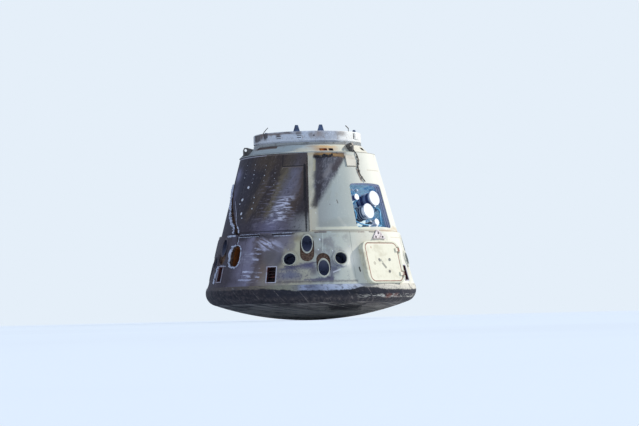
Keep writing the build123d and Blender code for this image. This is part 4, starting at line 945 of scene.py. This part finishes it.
# Torn skin at the channel, the ledge, the riser hole, the foot and the deck, and the seam at the front.
# Columns: name, half width, how far it stands off, seed, route, and the paint where it isn't torn skin
for row in (
        ("channel_edge", 0.022, 0.026, 3, on_wall(
            (-84.5, 2.38), (-81.5, 2.25), (-78, 2.12), (-74, 1.98), (-69.5, 1.84), (-65, 1.72),
            (-61, 1.63))),
        ("channel_foot", 0.026, 0.018, 5, on_wall((-60.5, 1.64), (-58.5, 1.56), (-57.5, 1.49))),
        ("channel_lip", 0.014, 0.014, 7, on_wall((-54.5, 1.62), (-52.5, 1.56), (-51.5, 1.49))),
        ("ledge_left", 0.016, 0.016, 11, on_wall((-62, 1.455), (-56, 1.462), (-52, 1.45))),
        ("ledge_line_upper", 0.004, 0.009, 13, on_wall(
            (-48, 1.466), (-42, 1.466), (-36, 1.466), (-31.5, 1.466))),
        ("ledge_line_lower", 0.004, 0.007, 17, on_wall((-49, 1.425), (-42, 1.422), (-32, 1.424))),
        ("ledge_line_middle", 0.005, 0.01, 19, on_wall((-24, 1.468), (-16, 1.468), (-10, 1.468))),
        ("ledge_line_front", 0.006, 0.008, 23, on_wall((-22, 1.422), (-14, 1.42), (-10.5, 1.424))),
        ("slot_lip", 0.007, 0.012, 29, on_wall((-49, 1.44), (-48.6, 1.36), (-49.4, 1.3))),
        ("riser_rim_left", 0.019, 0.024, 31, round_hole(95, 285)),
        ("riser_rim_right", 0.007, 0.014, 37, round_hole(285, 455)),
        ("torn_patch_left", 0.026, 0.016, 41, on_wall(
            (-67, 0.95), (-69, 0.82), (-70, 0.7), (-68, 0.665))),
        ("torn_patch_top", 0.008, 0.012, 43, on_wall((-66.5, 0.95), (-60, 0.955), (-57, 0.945))),
        ("deck_rag", 0.022, 0.02, 47, on_wall(
            (6.5, 2.772), (10, 2.76), (14, 2.778), (18, 2.77), (21.5, 2.795)), "soot"),
        ("seam_rag", 0.006, 0.008, 53, on_wall(
            (-1.6, 2.6), (-1.7, 2.3), (-1.6, 2.02), (-1.4, 1.8), (-1.3, 1.52)), "soot")):
    torn_strip(*row)

# Fasteners and torn spots on the charred side. Spots: azimuth, height and radius
draw = random.Random(8)
spots = [(-50.4, 2.284, 0.03), (-55.1, 2.079, 0.028), (-53.1, 1.838, 0.026), (-51.5, 1.76, 0.014),
         (-42.3, 2.102, 0.01), (-42.2, 2.011, 0.01), (-42.7, 1.912, 0.012), (-57.5, 2.01, 0.014)]
for azimuth, foot, top, pitch in ((-58, 2.46, 2.74, 0.075), (-46.6, 2.36, 2.72, 0.08),
                                  (-35.4, 2.38, 2.66, 0.085), (-26.5, 2.3, 2.6, 0.1)):
    height = foot
    while height < top:
        spots.append((azimuth + draw.uniform(-0.5, 0.5), height, draw.uniform(0.005, 0.01)))
        height += pitch * draw.uniform(0.8, 1.2)
studs("fasteners", spots, 9)
seam_bits = [(0.9 + draw.uniform(-0.3, 0.5), draw.uniform(1.7, 2.56), draw.uniform(0.006, 0.011))
             for _ in range(26)]
studs("seam_bits", seam_bits, 10, 0.8)
studs("service_studs", [
    (-12.5, 1.18, 0.006), (24, 1.22, 0.008), (-25.5, 1.3, 0.012), (21.5, 1.135, 0.01)], 11)

# Riser that runs taut from the lifting lug down into the parachute bay, with its links
riser = [around(43, 1.075, 2.948)]
for azimuth, height in ((43.9, 2.82), (45, 2.7), (43, 2.58), (43.6, 2.45), (47.4, 2.33)):
    riser.append(wall_frame(azimuth, height, 0.016).translation)
tube("riser_cable", riser, 0.009, "cable")
for index, (azimuth, height, turn) in enumerate((
        (44.6, 2.76, 0.3), (45, 2.7, -0.4), (44, 2.64, 0.2), (43, 2.58, -0.3), (43.2, 2.515, 0.3),
        (45, 2.4, 0.5))):
    matrix = wall_frame(azimuth, height, 0.018) @ Matrix.Rotation(turn, 4, "Z")
    block("riser_link_%d" % index, matrix, (0.034, 0.046, 0.024), "steel" if index % 2 else "cable", 0.008)
left_foot = wall_frame(-84, 2.815, 0.012).translation
tube("left_riser", [around(-77, 1.07, 2.945), around(-80, 1.13, 2.88), left_foot], 0.009, "cable")

# Cover plate over the bay, and rods on the ring. Rods: name, radius, places (azimuth, radius, height)
block("bay_cover_plate", wall_frame(37, 2.688, 0.006), (0.205, 0.186, 0.014), "cover", 0.004)
for name, radius, places in (
        ("ring_rod_left", 0.007, ((-57, 0.93, 3.18), (-52, 0.93, 3.25), (-46.5, 0.925, 3.312))),
        ("ring_rod_right", 0.009, ((46, 0.925, 3.318), (48, 0.925, 3.3), (50.5, 0.928, 3.27))),
        ("ring_rod_right_foot", 0.006, ((50.5, 0.925, 3.275), (50.5, 0.925, 3.2)))):
    tube(name, [around(*place) for place in places], radius, "steel")

# Lines, tapes and brackets inside the parachute bay. Places are across, up and out of the bay's mouth
chute = wall_frame(*chute_place)
for index, points in enumerate((
        ((-0.36, -0.2, -0.2), (-0.28, -0.3, -0.12), (-0.1, -0.33, -0.1), (0.1, -0.3, -0.14),
         (0.26, -0.34, -0.1)),
        ((-0.38, -0.3, -0.24), (-0.2, -0.36, -0.16), (0.02, -0.34, -0.12), (0.2, -0.36, -0.18),
         (0.4, -0.3, -0.2)),
        ((-0.36, 0.02, -0.24), (-0.3, -0.06, -0.16), (-0.33, -0.18, -0.14), (-0.38, -0.26, -0.2)),
        ((0.3, 0.06, -0.24), (0.34, -0.04, -0.14), (0.3, -0.16, -0.12), (0.36, -0.28, -0.18)),
        ((-0.3, 0.3, -0.26), (-0.2, 0.24, -0.16), (-0.16, 0.16, -0.14), (-0.24, 0.08, -0.22)))):
    points = [chute @ Vector(point) for point in points]
    tube("bay_line_%d" % index, points, 0.015 if index % 2 else 0.012, "web")
for index, (place, width, length, turn) in enumerate((
        ((-0.04, -0.335, -0.09), 0.16, 0.022, 0.25), ((0.02, -0.27, -0.1), 0.12, 0.018, -0.3),
        ((0.3, 0.06, -0.16), 0.1, 0.03, 0.9), ((-0.22, 0.335, -0.22), 0.2, 0.024, 0.1),
        ((0.32, -0.12, -0.14), 0.12, 0.02, 1.2), ((-0.36, -0.05, -0.2), 0.14, 0.022, 1.4),
        ((0.16, -0.335, -0.12), 0.1, 0.02, 0.5))):
    matrix = chute @ Matrix.Translation(place) @ Matrix.Rotation(turn, 4, "Z")
    block("bay_tape_%d" % index, matrix, (width, length, 0.01), "tape", 0.002)
for index, (place, size) in enumerate((
        ((-0.16, 0.3, -0.14), 0.055), ((-0.05, -0.01, -0.2), 0.05), ((0.34, -0.02, -0.2), 0.05),
        ((0.24, -0.24, -0.16), 0.05))):
    matrix = chute @ Matrix.Translation(place) @ Matrix.Rotation(index * 0.7, 4, "Z")
    paint = "soot" if index % 2 else "chrome"
    block("bay_bracket_%d" % index, matrix, (size, size * 0.7, 0.05), paint, 0.006)

# Bolts on the stay bracket
bracket = wall_frame(47, 1.418, 0.026)
mesh = bmesh.new()
for x, y in ((-0.085, -0.05), (0.085, -0.05), (0, 0.02)):
    bmesh.ops.create_cone(mesh, cap_ends=True, segments=12, radius1=0.013, radius2=0.011, depth=0.014,
                          matrix=bracket @ Matrix.Translation((x, y, 0.004)))
add_piece("bracket_bolts", mesh, "soot")

# Floor
shade = Shade("floor")
cloud = shade.noise(0.4, 4, 0.6)
tint = wash((222, 232, 240), [(cloud, 0.4, 0.7, 12, (196, 204, 212))])
bpy.ops.mesh.primitive_plane_add(size=600, location=(0, 0, 0))
floor = bpy.context.object
floor.name = "floor"
floor.data.materials.append(shade.finish(tint, 0.9))

# Sky: one colour for what the camera sees, and a dimmer one that lights the capsule
seen_sky = linear((229, 239, 249))
fill_sky, fill_strength = (0.66, 0.78, 1.02, 1), 0.65
world = bpy.data.worlds.new("sky")
scene.world = world
world.use_nodes = True
background = world.node_tree.nodes["Background"]
path = add_node(world.node_tree, "LightPath")
seen = Field(path.outputs["Is Camera Ray"]).at_least(Field(path.outputs["Is Transmission Ray"]))
sky = add_node(world.node_tree, "Mix")
sky.data_type = "RGBA"
for index, value in ((0, seen), (6, fill_sky), (7, seen_sky)):
    feed(sky.inputs[index], value)
feed(background.inputs["Color"], Field(sky.outputs[2]))
feed(background.inputs["Strength"], seen * (1 - fill_strength) + fill_strength)

sun_azimuth, sun_height = 104, 36.0
sun_data = bpy.data.lights.new("sun", "SUN")
sun_data.energy = 3.2
sun_data.angle = math.radians(3)
sun_data.color = (1, 0.95, 0.86)
sun = bpy.data.objects.new("sun", sun_data)
scene.collection.objects.link(sun)
towards_sun = around(sun_azimuth, math.cos(math.radians(sun_height)), math.sin(math.radians(sun_height)))
sun.rotation_euler = towards_sun.to_track_quat("Z", "Y").to_euler()
